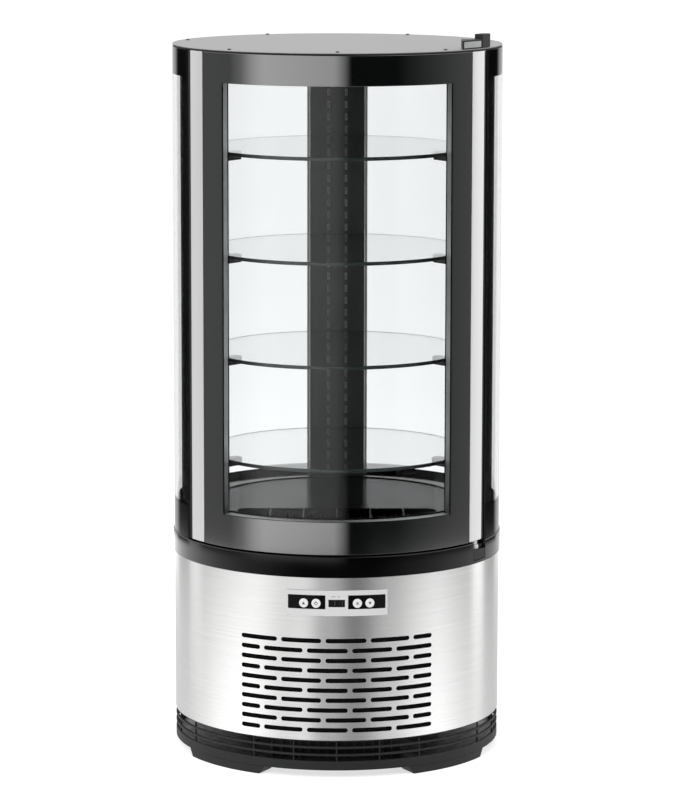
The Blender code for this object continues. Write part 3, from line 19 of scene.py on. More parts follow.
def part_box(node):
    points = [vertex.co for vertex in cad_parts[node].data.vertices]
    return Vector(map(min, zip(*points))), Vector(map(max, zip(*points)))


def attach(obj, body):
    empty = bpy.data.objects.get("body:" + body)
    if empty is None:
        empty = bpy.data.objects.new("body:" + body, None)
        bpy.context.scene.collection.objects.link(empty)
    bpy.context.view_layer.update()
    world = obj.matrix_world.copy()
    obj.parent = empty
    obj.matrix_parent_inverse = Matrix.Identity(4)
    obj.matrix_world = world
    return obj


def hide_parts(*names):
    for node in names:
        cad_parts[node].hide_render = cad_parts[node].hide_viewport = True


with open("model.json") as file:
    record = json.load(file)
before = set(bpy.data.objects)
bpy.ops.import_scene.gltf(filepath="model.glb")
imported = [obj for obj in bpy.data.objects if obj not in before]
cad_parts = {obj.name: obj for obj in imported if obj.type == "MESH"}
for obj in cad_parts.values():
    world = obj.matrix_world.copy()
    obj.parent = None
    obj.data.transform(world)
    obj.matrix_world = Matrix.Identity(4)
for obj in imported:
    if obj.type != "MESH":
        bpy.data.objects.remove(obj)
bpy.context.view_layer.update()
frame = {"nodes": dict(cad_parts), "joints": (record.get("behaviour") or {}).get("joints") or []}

# %% [markdown]
# Radii and heights are read from the frame, so the fine pieces follow it. A round node reaches its
# full radius at a bearing of 90 degrees, so the highest X of its box is that radius. Wall
# thicknesses, which a box can't tell, are named below it. Parts that touch on the real case stand a
# hair apart here, so that no two faces lie in each other: GAP between level faces, WIDE_GAP between
# curved ones, and TURN_GAP in degrees round the drum. TINY is what rounding may leave between two
# values that are meant to be equal.

# %% Read the sizes of the case


def reach(node):
    """Outer radius of a round node."""
    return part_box(node)[1].x


def heights(node):
    """Lowest and highest Z of a node."""
    low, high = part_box(node)
    return low.z, high.z


GLASS_RADIUS = reach("right_outer_pane")
SHELL_RADIUS = reach("steel_shell")
SKIRT_RADIUS = reach("base_skirt")
COLLAR_RADIUS = reach("collar_ring")
COVER_RADIUS = reach("top_cover")
CANOPY_RADIUS = reach("top_hood")
TUB_RADIUS = reach("insulated_tub")
FLOOR_RADIUS = reach("cabin_floor")
SHELF_RADIUS = reach("glass_shelf_1")
SKIRT_LOW, SKIRT_HIGH = heights("base_skirt")
SHELL_LOW, SHELL_HIGH = heights("steel_shell")
COLLAR_LOW, COLLAR_HIGH = heights("collar_ring")
PANE_LOW, PANE_HIGH = heights("right_outer_pane")
DOOR_LOW, DOOR_HIGH = heights("door_outer_pane")
CEILING, FLANGE_HIGH = heights("top_hood")
COVER_LOW, COVER_HIGH = heights("top_cover")
FASCIA_LOW, FASCIA_HIGH = heights("control_fascia")
TUB_LOW, TUB_RIM = heights("insulated_tub")
FLOOR_LOW, FLOOR_TOP = heights("cabin_floor")
PANE = 0.0040
DOOR_DEPTH = 0.0220
GAP = 0.0003
WIDE_GAP = 0.0006
TURN_GAP = 0.1
TINY = 1e-6
SIDES = ((1, "right"), (-1, "left"))

# %% [markdown]
# Nearly every piece of this case is a profile carried round the axis of the drum. One function
# makes them all: it takes the profile as (radius, height) points and a list of bearings, and joins
# one ring of points to the next. The frame's own round pieces have 48 sides. Here a step is a
# degree or two, which looks round at any distance.

# %% Places on the drum


def at(radius, bearing, height=0.0):
    """The point at a radius, a bearing and a height."""
    angle = math.radians(bearing)
    return Vector((radius * math.sin(angle), -radius * math.cos(angle), height))


def bearing_of(point):
    """The bearing of a point, from -180 to 180."""
    return math.degrees(math.atan2(point.x, -point.y))


def spread(start, end, step=1.5):
    """Evenly spaced values from start to end, both of them included, no further apart than a step."""
    count = max(1, math.ceil(abs(end - start) / step - TINY))
    return [start + (end - start) * index / count for index in range(count + 1)]


def merged(*lists, least=0.02):
    """Sorted values of several lists, without those that nearly repeat the one before."""
    kept = []
    for value in sorted(value for values in lists for value in values):
        if not kept or value - kept[-1] > least:
            kept.append(value)
    return kept


def to_side(side, turns):
    """Bearings carried to the right side (1) or the left one (-1), in rising order."""
    return sorted(side * turn for turn in turns)


FULL_TURN = spread(-180, 180)
print("a full turn has", len(FULL_TURN) - 1, "steps")

# %% [markdown]
# ## Camera, floor and light
#
# The photograph is taken from five metres with a long lens, a little above the case, and looks
# slightly down. The camera's height, pitch and focal length follow from the case itself: round
# edges at known heights show how flat each ellipse is. The focal length is in pixels of an 800
# pixel high frame, which is what such a fit gives.

# %% Camera
FRAME_WIDTH = 700
FRAME_HEIGHT = 800
CAMERA_DISTANCE = 5.1038
CAMERA_HEIGHT = 1.27667
CAMERA_PITCH = 8.8864
CAMERA_ROLL = 0.11
FOCAL_PIXELS = 3746.13
AXIS_PIXEL = 336.85
SENSOR = 36.0


def add_camera():
    """The camera of the photograph."""
    data = bpy.data.cameras.new("camera")
    data.sensor_width = SENSOR
    data.lens = FOCAL_PIXELS * SENSOR / FRAME_HEIGHT
    camera = bpy.data.objects.new("camera", data)
    bpy.context.scene.collection.objects.link(camera)
    yaw = math.atan((AXIS_PIXEL - FRAME_WIDTH / 2) / FOCAL_PIXELS)
    turn = Matrix.Rotation(yaw, 4, "Z") @ Matrix.Rotation(math.radians(90 - CAMERA_PITCH), 4, "X")
    roll = Matrix.Rotation(math.radians(CAMERA_ROLL), 4, "Z")
    camera.matrix_world = Matrix.Translation((0, -CAMERA_DISTANCE, CAMERA_HEIGHT)) @ turn @ roll
    bpy.context.scene.camera = camera
    print("lens", round(data.lens, 1), "mm")


add_camera()

# %% [markdown]
# Materials and the surroundings are both made of shader nodes. One helper adds a node to either,
# sets its options and links or sets its inputs, which keeps each network readable as a few lines.
# Three more stand for what comes up often: a sum, a change of range, and the question whether a ray
# is one that the eye follows.

# %% Helpers for shader nodes


def node(owner, kind, inputs=(), **settings):
    """A shader node with its settings, and its inputs linked or set."""
    new = owner.node_tree.nodes.new(kind)
    for key, value in settings.items():
        setattr(new, key, value)
    for socket, value in dict(inputs).items():
        if isinstance(value, bpy.types.NodeSocket):
            owner.node_tree.links.new(value, new.inputs[socket])
        else:
            new.inputs[socket].default_value = value
    return new


def maths(owner, operation, first, second=0.0):
    """A Math node's result."""
    return node(owner, "ShaderNodeMath", {0: first, 1: second}, operation=operation).outputs[0]


def spanned(owner, value, start, end, low=0.0, high=1.0):
    """A value between start and end, brought to a number from low to high."""
    limits = {"Value": value, "From Min": start, "From Max": end, "To Min": low, "To Max": high}
    return node(owner, "ShaderNodeMapRange", limits).outputs["Result"]


def seen(owner, ray):
    """1 for rays of the eye, straight, off gloss or through glass, from the outputs of a Light Path."""
    further = maths(owner, "MAXIMUM", ray["Is Glossy Ray"], ray["Is Transmission Ray"])
    return maths(owner, "MAXIMUM", ray["Is Camera Ray"], further)


# %% [markdown]
# Gloss shows its surroundings, so the surroundings are made like a photographer's: bright panels
# and black cards round the case. Each is a stretch of bearings on a colour ramp.
#
# An upright face mirrors what lies as far below the horizon as the camera looks down on it. So the
# room is cut into level bands, and each part of the case has its own: the glass and its print
# mirror the upper one, the collar a narrow one under it, and the steel drum a third. Faces that
# lean back mirror the high room above them. Under the drum's band the room gets bright, as a pale
# floor would be, and then darker for faces that look far down. The sides of the case are further
# away than its front and mirror a little higher, and the bend of the bands makes up for that.
#
# Only gloss sees this. The camera and what is seen through glass get a plain white, and matt
# surfaces get an even light, so a colour renders about as it is written.

# %% The room
ROOM_LIGHT = 0.50
GLASS_BAND = (-0.1969, 0.02)
COLLAR_BAND_LOW = -0.2040
BAND_BEND = 0.0083
BAND_BLUR = 0.0006
LOW_BAND = (-0.245, -0.265)
LOW_LEVEL = 0.82
DEEP_BAND = (-0.320, -0.370)
DEEP_LEVEL = 0.46
PANEL_GAIN = 2.0
GLASS_ROOM = (
    (-180, 0.50), (-154, 0.48), (-148, 0.004), (-130, 0.004), (-125, 0.50),
    (-116, 0.50), (-108, 0.075), (-80, 0.07), (-70, 0.15), (-60, 0.36), (-52, 0.46),
    (-30, 0.42), (-2, 0.36), (4.5, 0.16), (9, 0.002), (42, 0.002), (58, 0.018),
    (74, 0.036), (92, 0.056), (108, 0.07), (116, 0.84), (125, 0.84), (130, 0.004),
    (148, 0.004), (154, 0.48), (180, 0.50),
)
COLLAR_ROOM = (
    (-180, 0.90), (-150, 0.84), (-137, 0.80), (-114, 0.68), (-88, 0.38), (-64, 0.16),
    (-44, 0.06), (-26, 0.01), (26, 0.01), (44, 0.06), (62, 0.16), (88, 0.34),
    (123, 0.45), (150, 0.52), (180, 0.60),
)
STEEL_ROOM = (
    (-180, 0.34), (-142, 0.40), (-122, 0.42), (-110, 0.58), (-98, 0.76), (-86, 0.90),
    (-76, 1.0), (-66, 0.95), (-56, 0.78), (-44, 0.58), (-36, 0.50), (-28, 0.58),
    (-20, 0.56), (-15, 0.30), (-11, 0.01), (14, 0.04), (20, 0.16), (27, 0.42),
    (34, 0.54), (44, 0.60), (54, 0.78), (66, 0.90), (76, 0.95), (88, 0.80), (100, 0.64),
    (114, 0.50), (130, 0.40), (152, 0.34), (180, 0.34),
)
HIGH_ROOM = ((-180, 0.48), (-50, 0.48), (-16, 0.1), (20, 0.1), (50, 0.48), (180, 0.48))

room = bpy.data.worlds.new("white_room")
room.use_nodes = True
bpy.context.scene.world = room
aim = node(room, "ShaderNodeSeparateXYZ", {"Vector": node(room, "ShaderNodeTexCoord").outputs["Generated"]})
around = maths(room, "ARCTAN2", aim.outputs["X"], maths(room, "MULTIPLY", aim.outputs["Y"], -1.0))
turn_share = maths(room, "ADD", maths(room, "DIVIDE", around, math.tau), 0.5)
bend = maths(room, "SUBTRACT", 1.0, maths(room, "COSINE", maths(room, "MULTIPLY", around, 0.5)))
depth = maths(room, "SUBTRACT", aim.outputs["Z"], maths(room, "MULTIPLY", bend, BAND_BEND))


def surroundings(stops):
    """Brightness of the room by bearing."""
    ramp = node(room, "ShaderNodeValToRGB", {"Fac": turn_share})
    for bearing, _ in stops[1:-1]:
        ramp.color_ramp.elements.new(bearing / 360 + 0.5)
    for element, (_, level) in zip(ramp.color_ramp.elements, stops):
        element.color = (level, level, level, 1)
    return maths(room, "MULTIPLY", ramp.outputs["Color"], PANEL_GAIN)


def blend_of(share, first, second):
    """A mix of two values."""
    return node(room, "ShaderNodeMix", {0: share, 2: first, 3: second}, data_type="FLOAT").outputs[0]


def above(height):
    """1 where a direction lies above a height, 0 below it, with a narrow blur."""
    return spanned(room, depth, height - BAND_BLUR, height + BAND_BLUR)


low = spanned(room, depth, *LOW_BAND, high=LOW_LEVEL)
deep = spanned(room, depth, *DEEP_BAND)
below = blend_of(deep, maths(room, "MAXIMUM", surroundings(STEEL_ROOM), low), DEEP_LEVEL)
below = blend_of(above(COLLAR_BAND_LOW), below, surroundings(COLLAR_ROOM))
mirrored_room = blend_of(above(GLASS_BAND[0]), below, surroundings(GLASS_ROOM))
mirrored_room = blend_of(above(GLASS_BAND[1]), mirrored_room, surroundings(HIGH_ROOM))
ray = node(room, "ShaderNodeLightPath").outputs
sight = seen(room, ray)
sight = maths(room, "SUBTRACT", sight, maths(room, "MINIMUM", sight, ray["Diffuse Depth"]))
mirrored = maths(room, "MINIMUM", ray["Glossy Depth"], 1.0)
level = blend_of(sight, ROOM_LIGHT, blend_of(mirrored, 1.0, mirrored_room))
backdrop = room.node_tree.nodes["Background"]
room.node_tree.links.new(level, backdrop.inputs["Strength"])
backdrop.inputs["Color"].default_value = (1, 1, 1, 1)
print("the room has", len(room.node_tree.nodes), "nodes")

# %% [markdown]
# Three soft lamps give the shapes their light and shade. They stand where the panels are, and gloss
# doesn't see them, because the room already holds what gloss should mirror. The floor is pale and
# matt. For the eye it is lifted to the room's white, and where the case keeps light off it the lift
# leaves a soft shadow. A ray that comes off gloss passes through the floor, because the low bands
# of the room stand for it there.

# %% Lamps and floor
FLOOR_SIZE = 60.0
FLOOR_TONE = 0.82
FLOOR_ROUGHNESS = 0.9
FLOOR_LIFT = 0.64
LAMPS = {
    "left_lamp": {"bearing": -35, "distance": 2.8, "height": 1.7, "aim": 0.5, "size": 1.8, "power": 42},
    "right_lamp": {"bearing": 60, "distance": 3.0, "height": 1.4, "aim": 0.5, "size": 1.8, "power": 22},
    "high_lamp": {"bearing": 180, "distance": 0.8, "height": 2.9, "aim": 0.3, "size": 1.6, "power": 16},
}


def add_lamp(name, bearing, distance, height, aim, size, power):
    """A soft square lamp that faces the case."""
    data = bpy.data.lights.new(name, "AREA")
    data.shape = "SQUARE"
    data.size = size
    data.energy = power
    lamp = bpy.data.objects.new(name, data)
    bpy.context.scene.collection.objects.link(lamp)
    spot = at(distance, bearing, height)
    facing = (spot - Vector((0, 0, aim))).to_track_quat("Z", "Y")
    lamp.matrix_world = Matrix.Translation(spot) @ facing.to_matrix().to_4x4()
    lamp.visible_camera = False
    lamp.visible_glossy = False
    lamp.visible_transmission = False


for name, lamp in LAMPS.items():
    add_lamp(name, **lamp)
    print(name, "of", lamp["power"], "W at", lamp["bearing"], "degrees")


def add_floor():
    """The pale floor that the case stands on."""
    mesh = bpy.data.meshes.new("floor")
    shape = bmesh.new()
    bmesh.ops.create_grid(shape, x_segments=1, y_segments=1, size=FLOOR_SIZE)
    shape.to_mesh(mesh)
    shape.free()
    made = bpy.data.objects.new("floor", mesh)
    bpy.context.scene.collection.objects.link(made)
    pale = bpy.data.materials.new("pale_floor")
    pale.use_nodes = True
    mesh.materials.append(pale)
    shader = pale.node_tree.nodes["Principled BSDF"]
    shader.inputs["Base Color"].default_value = (FLOOR_TONE, FLOOR_TONE, FLOOR_TONE, 1)
    shader.inputs["Roughness"].default_value = FLOOR_ROUGHNESS
    shader.inputs["Specular IOR Level"].default_value = 0.0
    ray = node(pale, "ShaderNodeLightPath").outputs
    lift = maths(pale, "MULTIPLY", seen(pale, ray), FLOOR_LIFT)
    glow = node(pale, "ShaderNodeEmission", {"Strength": lift})
    both = node(pale, "ShaderNodeAddShader", {0: shader.outputs["BSDF"], 1: glow.outputs["Emission"]})
    gone = node(pale, "ShaderNodeBsdfTransparent")
    after_mirror = maths(pale, "MINIMUM", ray["Glossy Depth"], 1.0)
    ends = {0: after_mirror, 1: both.outputs["Shader"], 2: gone.outputs["BSDF"]}
    mix = node(pale, "ShaderNodeMixShader", ends)
    pale.node_tree.links.new(mix.outputs["Shader"], pale.node_tree.nodes["Material Output"].inputs["Surface"])


add_floor()
bpy.context.scene.view_settings.view_transform = "Standard"

# %% [markdown]
# A mesh becomes a piece when it has a name, a finish and a body to move with. Shading is smooth
# across the small steps of a curve and sharp at real edges, and a narrow bevel gives those edges
# the thin highlight that every real edge has.

# %% From a shape to a piece
SHARP = math.radians(30)


def piece(name, shape, body, finishes, replaces=(), bevel=0.0, segments=2):
    """Makes a shape a piece of the case: smooth, finished, and riding on its body."""
    if isinstance(shape, bpy.types.Mesh):
        mesh = shape
        mesh.name = name
        mesh.materials.clear()
    else:
        mesh = bpy.data.meshes.new(name)
        shape.to_mesh(mesh)
        shape.free()
    for worn in finishes:
        mesh.materials.append(worn)
    mesh.shade_smooth()
    mesh.set_sharp_from_angle(angle=SHARP)
    made = bpy.data.objects.new(name, mesh)
    bpy.context.scene.collection.objects.link(made)
    if bevel:
        edge = made.modifiers.new("edge", "BEVEL")
        edge.width = bevel
        edge.segments = segments
        edge.limit_method = "ANGLE"
        edge.angle_limit = SHARP
        edge.harden_normals = True
    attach(made, body)
    if replaces:
        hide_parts(*replaces)
    print(name, "rides on", body, "and has", len(mesh.polygons), "faces")
    return made


# %% [markdown]
# The shapes themselves come from a few small makers: a profile swept through bearings, a profile
# turned about any axis, rows of points joined to a closed form, a box, and a flat sheet with
# openings. A profile that starts and ends on the axis makes a solid disc or knob, so no faces are
# made along the axis there.

# %% Makers of shapes


def outwards(shape):
    """Turns all faces of a closed shape outwards."""
    bmesh.ops.recalc_face_normals(shape, faces=shape.faces)
    return shape


def swept(profile, turns):
    """A profile of (radius, height) points carried through bearings."""
    shape = bmesh.new()
    solid = profile[0][0] == 0 and profile[-1][0] == 0
    full = abs(turns[-1] - turns[0] - 360) < TINY
    columns = turns[:-1] if full else turns
    rings = [[shape.verts.new(at(radius, turn, height)) for radius, height in profile] for turn in columns]
    following = rings[1:] + rings[:1] if full else rings[1:]
    for ring, other in zip(rings, following):
        for index in range(len(profile) - solid):
            after = (index + 1) % len(profile)
            shape.faces.new((ring[index], other[index], other[after], ring[after]))
    if not full:
        shape.faces.new(rings[0])
        shape.faces.new(rings[-1])
    bmesh.ops.remove_doubles(shape, verts=shape.verts, dist=TINY)
    return outwards(shape)


def turned(profile, place, sides=48):
    """A profile turned about the Z axis of a place."""
    shape = swept(profile, spread(-180, 180, 360 / sides))
    bmesh.ops.transform(shape, matrix=place, verts=shape.verts)
    return shape


def outward(radius, bearing, height):
    """A place on the drum whose Z axis points out of it and whose Y axis points up."""
    out = at(1, bearing)
    up = Vector((0, 0, 1))
    turn = Matrix((up.cross(out), up, out)).transposed().to_4x4()
    return Matrix.Translation(at(radius, bearing, height)) @ turn


def disc(radius, low, high):
    """Profile of a solid disc about the axis."""
    return [(0, low), (radius, low), (radius, high), (0, high)]


def slab(inner, outer, low, high, levels=()):
    """Profile of a curved slab. Levels add rows of points on both faces, where a finish can change."""
    rows = merged([low, high], levels, least=10 * TINY)
    return [(outer, row) for row in rows] + [(inner, row) for row in reversed(rows)]


def bent(inner, outer, low, high, turns, levels=()):
    """A curved slab through bearings."""
    return swept(slab(inner, outer, low, high, levels), turns)


def rounded(radius, top, size, turns):
    """Points of a round corner, from an upright wall to a level face."""
    angles = [math.radians(turn) for turn in turns]
    return [(radius - size * (1 - math.cos(turn)), top - size * (1 - math.sin(turn))) for turn in angles]


def arc(radius, start, end, step=1.5):
    """Points along an arc about the axis of the drum."""
    return [at(radius, turn) for turn in spread(start, end, step)]


def lofted(rows):
    """A closed form through rows of equally many points."""
    shape = bmesh.new()
    rings = [[shape.verts.new(point) for point in row] for row in rows]
    for ring, other in zip(rings, rings[1:]):
        for index in range(len(ring)):
            after = (index + 1) % len(ring)
            shape.faces.new((ring[index], ring[after], other[after], other[index]))
    for ring in (rings[0], rings[-1]):
        shape.faces.new(ring)
    return outwards(shape)


def prism(outline, low, high):
    """An outline in the XY plane, raised between two heights."""
    return lofted([[(point.x, point.y, height) for point in outline] for height in (low, high)])


def box(low, high, place=None):
    """A box between two corners, in a place of its own if one is given."""
    low, high = Vector(low), Vector(high)
    shape = bmesh.new()
    middle = Matrix.Translation((low + high) / 2) @ Matrix.Diagonal((*(high - low), 1))
    bmesh.ops.create_cube(shape, size=1, matrix=(place or Matrix()) @ middle)
    return shape


def sheet(outlines, low, high):
    """A flat sheet between two heights: the first outline is its edge and the others are openings."""
    shape = bmesh.new()
    for outline in outlines:
        points = [shape.verts.new((point.x, point.y, low)) for point in outline]
        for first, second in zip(points, points[1:] + points[:1]):
            shape.edges.new((first, second))
    bmesh.ops.triangle_fill(shape, edges=shape.edges, use_beauty=True, use_dissolve=False, normal=(0, 0, 1))
    raised = bmesh.ops.extrude_face_region(shape, geom=shape.faces)
    tops = [item for item in raised["geom"] if isinstance(item, bmesh.types.BMVert)]
    bmesh.ops.translate(shape, verts=tops, vec=(0, 0, high - low))
    return outwards(shape)


def paint(shape, rule):
    """Gives each face the finish number that a rule finds from its middle."""
    for face in shape.faces:
        face.material_index = rule(face.calc_center_median())
    return shape


def gathered(shapes):
    """Several shapes in one."""
    whole = bmesh.new()
    for shape in shapes:
        mesh = bpy.data.meshes.new("gathered")
        shape.to_mesh(mesh)
        shape.free()
        whole.from_mesh(mesh)
        bpy.data.meshes.remove(mesh)
    return whole


# %% [markdown]
# ## Finishes
#
# Each finish is a Principled shader with something of its own on top: brushing, moulding grain, a
# slight change of tone. Patterns read the piece's own Object coordinates, which are the frame's
# metres, so a grain of half a millimetre is half a millimetre on every piece.

# %% Helpers for finishes


def grey(level):
    """A colour without a tint."""
    return (level, level, level)


def finish(name, slot, colour, roughness, metallic=0.0, **levels):
    """A Principled material for one slot of the frame. Further levels are named after their sockets."""
    made = bpy.data.materials.new(name)
    made["slot"] = slot
    made.use_nodes = True
    shader = made.node_tree.nodes["Principled BSDF"]
    shader.inputs["Base Color"].default_value = (*colour, 1)
    shader.inputs["Roughness"].default_value = roughness
    shader.inputs["Metallic"].default_value = metallic
    for socket, value in levels.items():
        shader.inputs[socket.replace("_", " ")].default_value = value
    return made


def shader_of(made):
    """The Principled shader of a finish."""
    return made.node_tree.nodes["Principled BSDF"]


def grain(made, stretch, detail=3.0):
    """Noise on the piece's own coordinates, as fine along X, Y and Z as three numbers say, or one for all."""
    if not isinstance(stretch, tuple):
        stretch = (stretch, stretch, stretch)
    place = node(made, "ShaderNodeTexCoord").outputs["Object"]
    drawn = node(made, "ShaderNodeMapping", {"Vector": place, "Scale": stretch}).outputs["Vector"]
    return node(made, "ShaderNodeTexNoise", {"Vector": drawn, "Scale": 1.0, "Detail": detail}).outputs["Fac"]


def toned(made, pattern, dark, light, low=0.3, high=0.7):
    """Lets a pattern run the colour between two tones."""
    ramp = node(made, "ShaderNodeValToRGB", {"Fac": pattern})
    ramp.color_ramp.elements[0].position = low
    ramp.color_ramp.elements[0].color = (*dark, 1)
    ramp.color_ramp.elements[1].position = high
    ramp.color_ramp.elements[1].color = (*light, 1)
    made.node_tree.links.new(ramp.outputs["Color"], shader_of(made).inputs["Base Color"])


def roughened(made, pattern, low, high):
    """Lets a pattern run the roughness."""
    span = spanned(made, pattern, 0.0, 1.0, low, high)
    made.node_tree.links.new(span, shader_of(made).inputs["Roughness"])


def embossed(made, pattern, strength, distance):
    """Lets a pattern raise the surface."""
    bump = node(made, "ShaderNodeBump", {"Height": pattern, "Strength": strength, "Distance": distance})
    made.node_tree.links.new(bump.outputs["Normal"], shader_of(made).inputs["Normal"])


# %% [markdown]
# The drum's steel is brushed round the drum. Noise that is drawn out along X and Y and packed along
# Z gives level streaks, and anisotropy stands for the streaks that are too fine to draw: it spreads
# each reflection upwards into the tall soft bands that such steel shows. The tangent runs round the
# Z axis and is turned upright.

# %% Metals
steel = finish(
    "brushed_steel", "brushed_steel", grey(0.80), 0.20, 1.0, Anisotropic=0.3, Anisotropic_Rotation=0.25
)
streaks = grain(steel, (9, 9, 2600), 4.0)
toned(steel, streaks, (0.74, 0.74, 0.735), (0.86, 0.86, 0.855))
roughened(steel, streaks, 0.17, 0.23)
embossed(steel, streaks, 0.06, 0.00003)
round_the_drum = node(steel, "ShaderNodeTangent", direction_type="RADIAL", axis="Z").outputs["Tangent"]
steel.node_tree.links.new(round_the_drum, shader_of(steel).inputs["Tangent"])

satin = finish("satin_aluminium", "aluminium", grey(0.90), 0.36, 1.0)
drawn_lines = grain(satin, (900, 900, 6), 2.0)
toned(satin, drawn_lines, grey(0.87), grey(0.93))
roughened(satin, drawn_lines, 0.32, 0.42)

spacer_metal = finish("spacer_aluminium", "aluminium", (0.52, 0.53, 0.53), 0.42, 1.0)
toned(spacer_metal, grain(spacer_metal, 60), (0.47, 0.48, 0.48), (0.58, 0.59, 0.59))
roughened(spacer_metal, grain(spacer_metal, (200, 200, 30)), 0.36, 0.48)

bright_metal = finish("turned_steel", "aluminium", grey(0.80), 0.34, 0.5)
toned(bright_metal, grain(bright_metal, (40, 40, 2500), 2.0), grey(0.72), grey(0.88))
roughened(bright_metal, grain(bright_metal, (40, 40, 2500), 2.0), 0.28, 0.40)

zinc = finish("zinc_plate", "zinc", (0.55, 0.56, 0.57), 0.45, 1.0)
toned(zinc, grain(zinc, 90, 5.0), (0.46, 0.47, 0.48), (0.64, 0.65, 0.66))
roughened(zinc, grain(zinc, 40, 2.0), 0.35, 0.55)

copper = finish("drawn_copper", "copper", (0.72, 0.37, 0.22), 0.28, 1.0)
toned(copper, grain(copper, 120, 4.0), (0.55, 0.26, 0.15), (0.78, 0.42, 0.27))
roughened(copper, grain(copper, 60, 2.0), 0.22, 0.38)

# The evaporator's fins are aluminium. This near-black colour is painted shade, for the shade they lie in
# under the deck.
fins_painted_shade = finish("fins_dark_painted_shade", "aluminium", (0.08, 0.08, 0.085), 0.45)
toned(fins_painted_shade, grain(fins_painted_shade, (30, 30, 900), 2.0), (0.05, 0.05, 0.055), (0.10, 0.10, 0.105))
roughened(fins_painted_shade, grain(fins_painted_shade, (30, 30, 900), 2.0), 0.34, 0.48)

print("finishes so far:", len(bpy.data.materials))

# %% [markdown]
# The case has many blacks, and they differ by how they shine. Mouldings are matt with a fine grain,
# and the air column is one a little paler. The collar is polished and mirrors like a lens, the
# other gloss parts less so, and the deck is satin. The print on the door mirrors more than plain
# black paint would, because it lies behind polished glass. The black sheet behind the slots, which
# is painted shade, and the rubber are dull. None of them is a pure black, or they would swallow the
# shapes of their edges.

# %% Blacks
moulding = finish("black_moulding", "matt_black", grey(0.02), 0.50, Specular_IOR_Level=0.35)
fine_grain = grain(moulding, 1400, 2.0)
toned(moulding, fine_grain, (0.014, 0.014, 0.015), (0.024, 0.025, 0.026))
roughened(moulding, fine_grain, 0.40, 0.56)
embossed(moulding, fine_grain, 0.25, 0.0001)

duct_black = finish("satin_black_duct", "matt_black", grey(0.034), 0.46, Specular_IOR_Level=0.45)
duct_grain = grain(duct_black, 1200, 2.0)
toned(duct_black, duct_grain, grey(0.030), grey(0.038))
roughened(duct_black, duct_grain, 0.38, 0.52)

gloss = finish("gloss_black", "gloss_black", grey(0.003), 0.09, IOR=1.5, Specular_IOR_Level=0.12)
ripple = grain(gloss, 9, 1.0)
toned(gloss, ripple, grey(0.003), grey(0.006))
roughened(gloss, ripple, 0.06, 0.11)

collar_black = finish("polished_black_collar", "gloss_black", grey(0.002), 0.024, IOR=1.5)
collar_tone = grain(collar_black, 9, 1.0)
toned(collar_black, collar_tone, grey(0.001), grey(0.003))
roughened(collar_black, collar_tone, 0.018, 0.032)

printed = finish("black_print_behind_glass", "gloss_black", (0.004, 0.005, 0.005), 0.04, IOR=4.0)
print_tone = grain(printed, 3, 1.0)
toned(printed, print_tone, (0.002, 0.003, 0.003), (0.004, 0.006, 0.006))
roughened(printed, print_tone, 0.03, 0.06)

deck_black = finish("satin_black_deck", "gloss_black", grey(0.004), 0.18, Specular_IOR_Level=0.03)
toned(deck_black, grain(deck_black, 12, 1.0), grey(0.003), grey(0.006))
roughened(deck_black, grain(deck_black, 300, 2.0), 0.14, 0.22)

# Painted shade: a near-black sheet that stands for the dark inside of the drum behind the slots.
shade_sheet_black = finish("black_sheet_painted_shade", "rubber", grey(0.003), 0.9, Specular_IOR_Level=0.1)
toned(shade_sheet_black, grain(shade_sheet_black, 900, 3.0), grey(0.001), grey(0.006))

rubber = finish("black_rubber", "rubber", grey(0.016), 0.72)
toned(rubber, grain(rubber, 60, 2.0), grey(0.010), grey(0.018))
embossed(rubber, grain(rubber, 700, 2.0), 0.3, 0.0001)

# Black enamel on the compressor and the screws. On the condenser the same black is painted shade, for the
# dark inside of the drum behind the slots.
enamel_and_shade = finish("black_enamel_and_painted_shade", "black_paint", (0.020, 0.020, 0.021), 0.28)
peel = grain(enamel_and_shade, 260, 2.0)
toned(enamel_and_shade, peel, (0.016, 0.016, 0.017), (0.024, 0.024, 0.025))
embossed(enamel_and_shade, peel, 0.15, 0.0002)

print("finishes so far:", len(bpy.data.materials))

# %% [markdown]
# Glass is a Principled shader that transmits. The eye still sees real glass, and the shelves
# inside are lit. The panes are coated against glare, so they mirror less than plain glass.

# %% Glass


def glass(name, colour, roughness, film):
    """Glass that lets lamps through as a film would."""
    made = finish(name, "glass", colour, roughness, IOR=1.26, Transmission_Weight=1.0)
    smudges = grain(made, 7, 2.0)
    roughened(made, smudges, roughness * 0.5, roughness * 1.5)
    clear = node(made, "ShaderNodeBsdfTransparent", {"Color": (*film, 1)})
    path = node(made, "ShaderNodeLightPath")
    mix = node(
        made,
        "ShaderNodeMixShader",
        {0: path.outputs["Is Shadow Ray"], 1: shader_of(made).outputs["BSDF"], 2: clear.outputs["BSDF"]},
    )
    output = made.node_tree.nodes["Material Output"]
    made.node_tree.links.new(mix.outputs["Shader"], output.inputs["Surface"])
    return made


pane_glass = glass("pane_glass", (0.972, 0.978, 0.980), 0.004, (0.95, 0.96, 0.96))
shelf_glass = glass("shelf_glass", (0.97, 0.985, 0.98), 0.01, (0.92, 0.94, 0.93))
glass_edge = finish("ground_glass_edge", "glass", (0.035, 0.050, 0.046), 0.22, IOR=1.5)
toned(glass_edge, grain(glass_edge, (30, 30, 500), 2.0), (0.012, 0.018, 0.017), (0.035, 0.048, 0.045))
roughened(glass_edge, grain(glass_edge, (200, 200, 900), 2.0), 0.16, 0.30)

print("finishes so far:", len(bpy.data.materials))

# %% [markdown]
# Painted and moulded light parts: the top cover has a powder coat with its orange-peel, the control
# film is smooth, and the keys are a warm white.

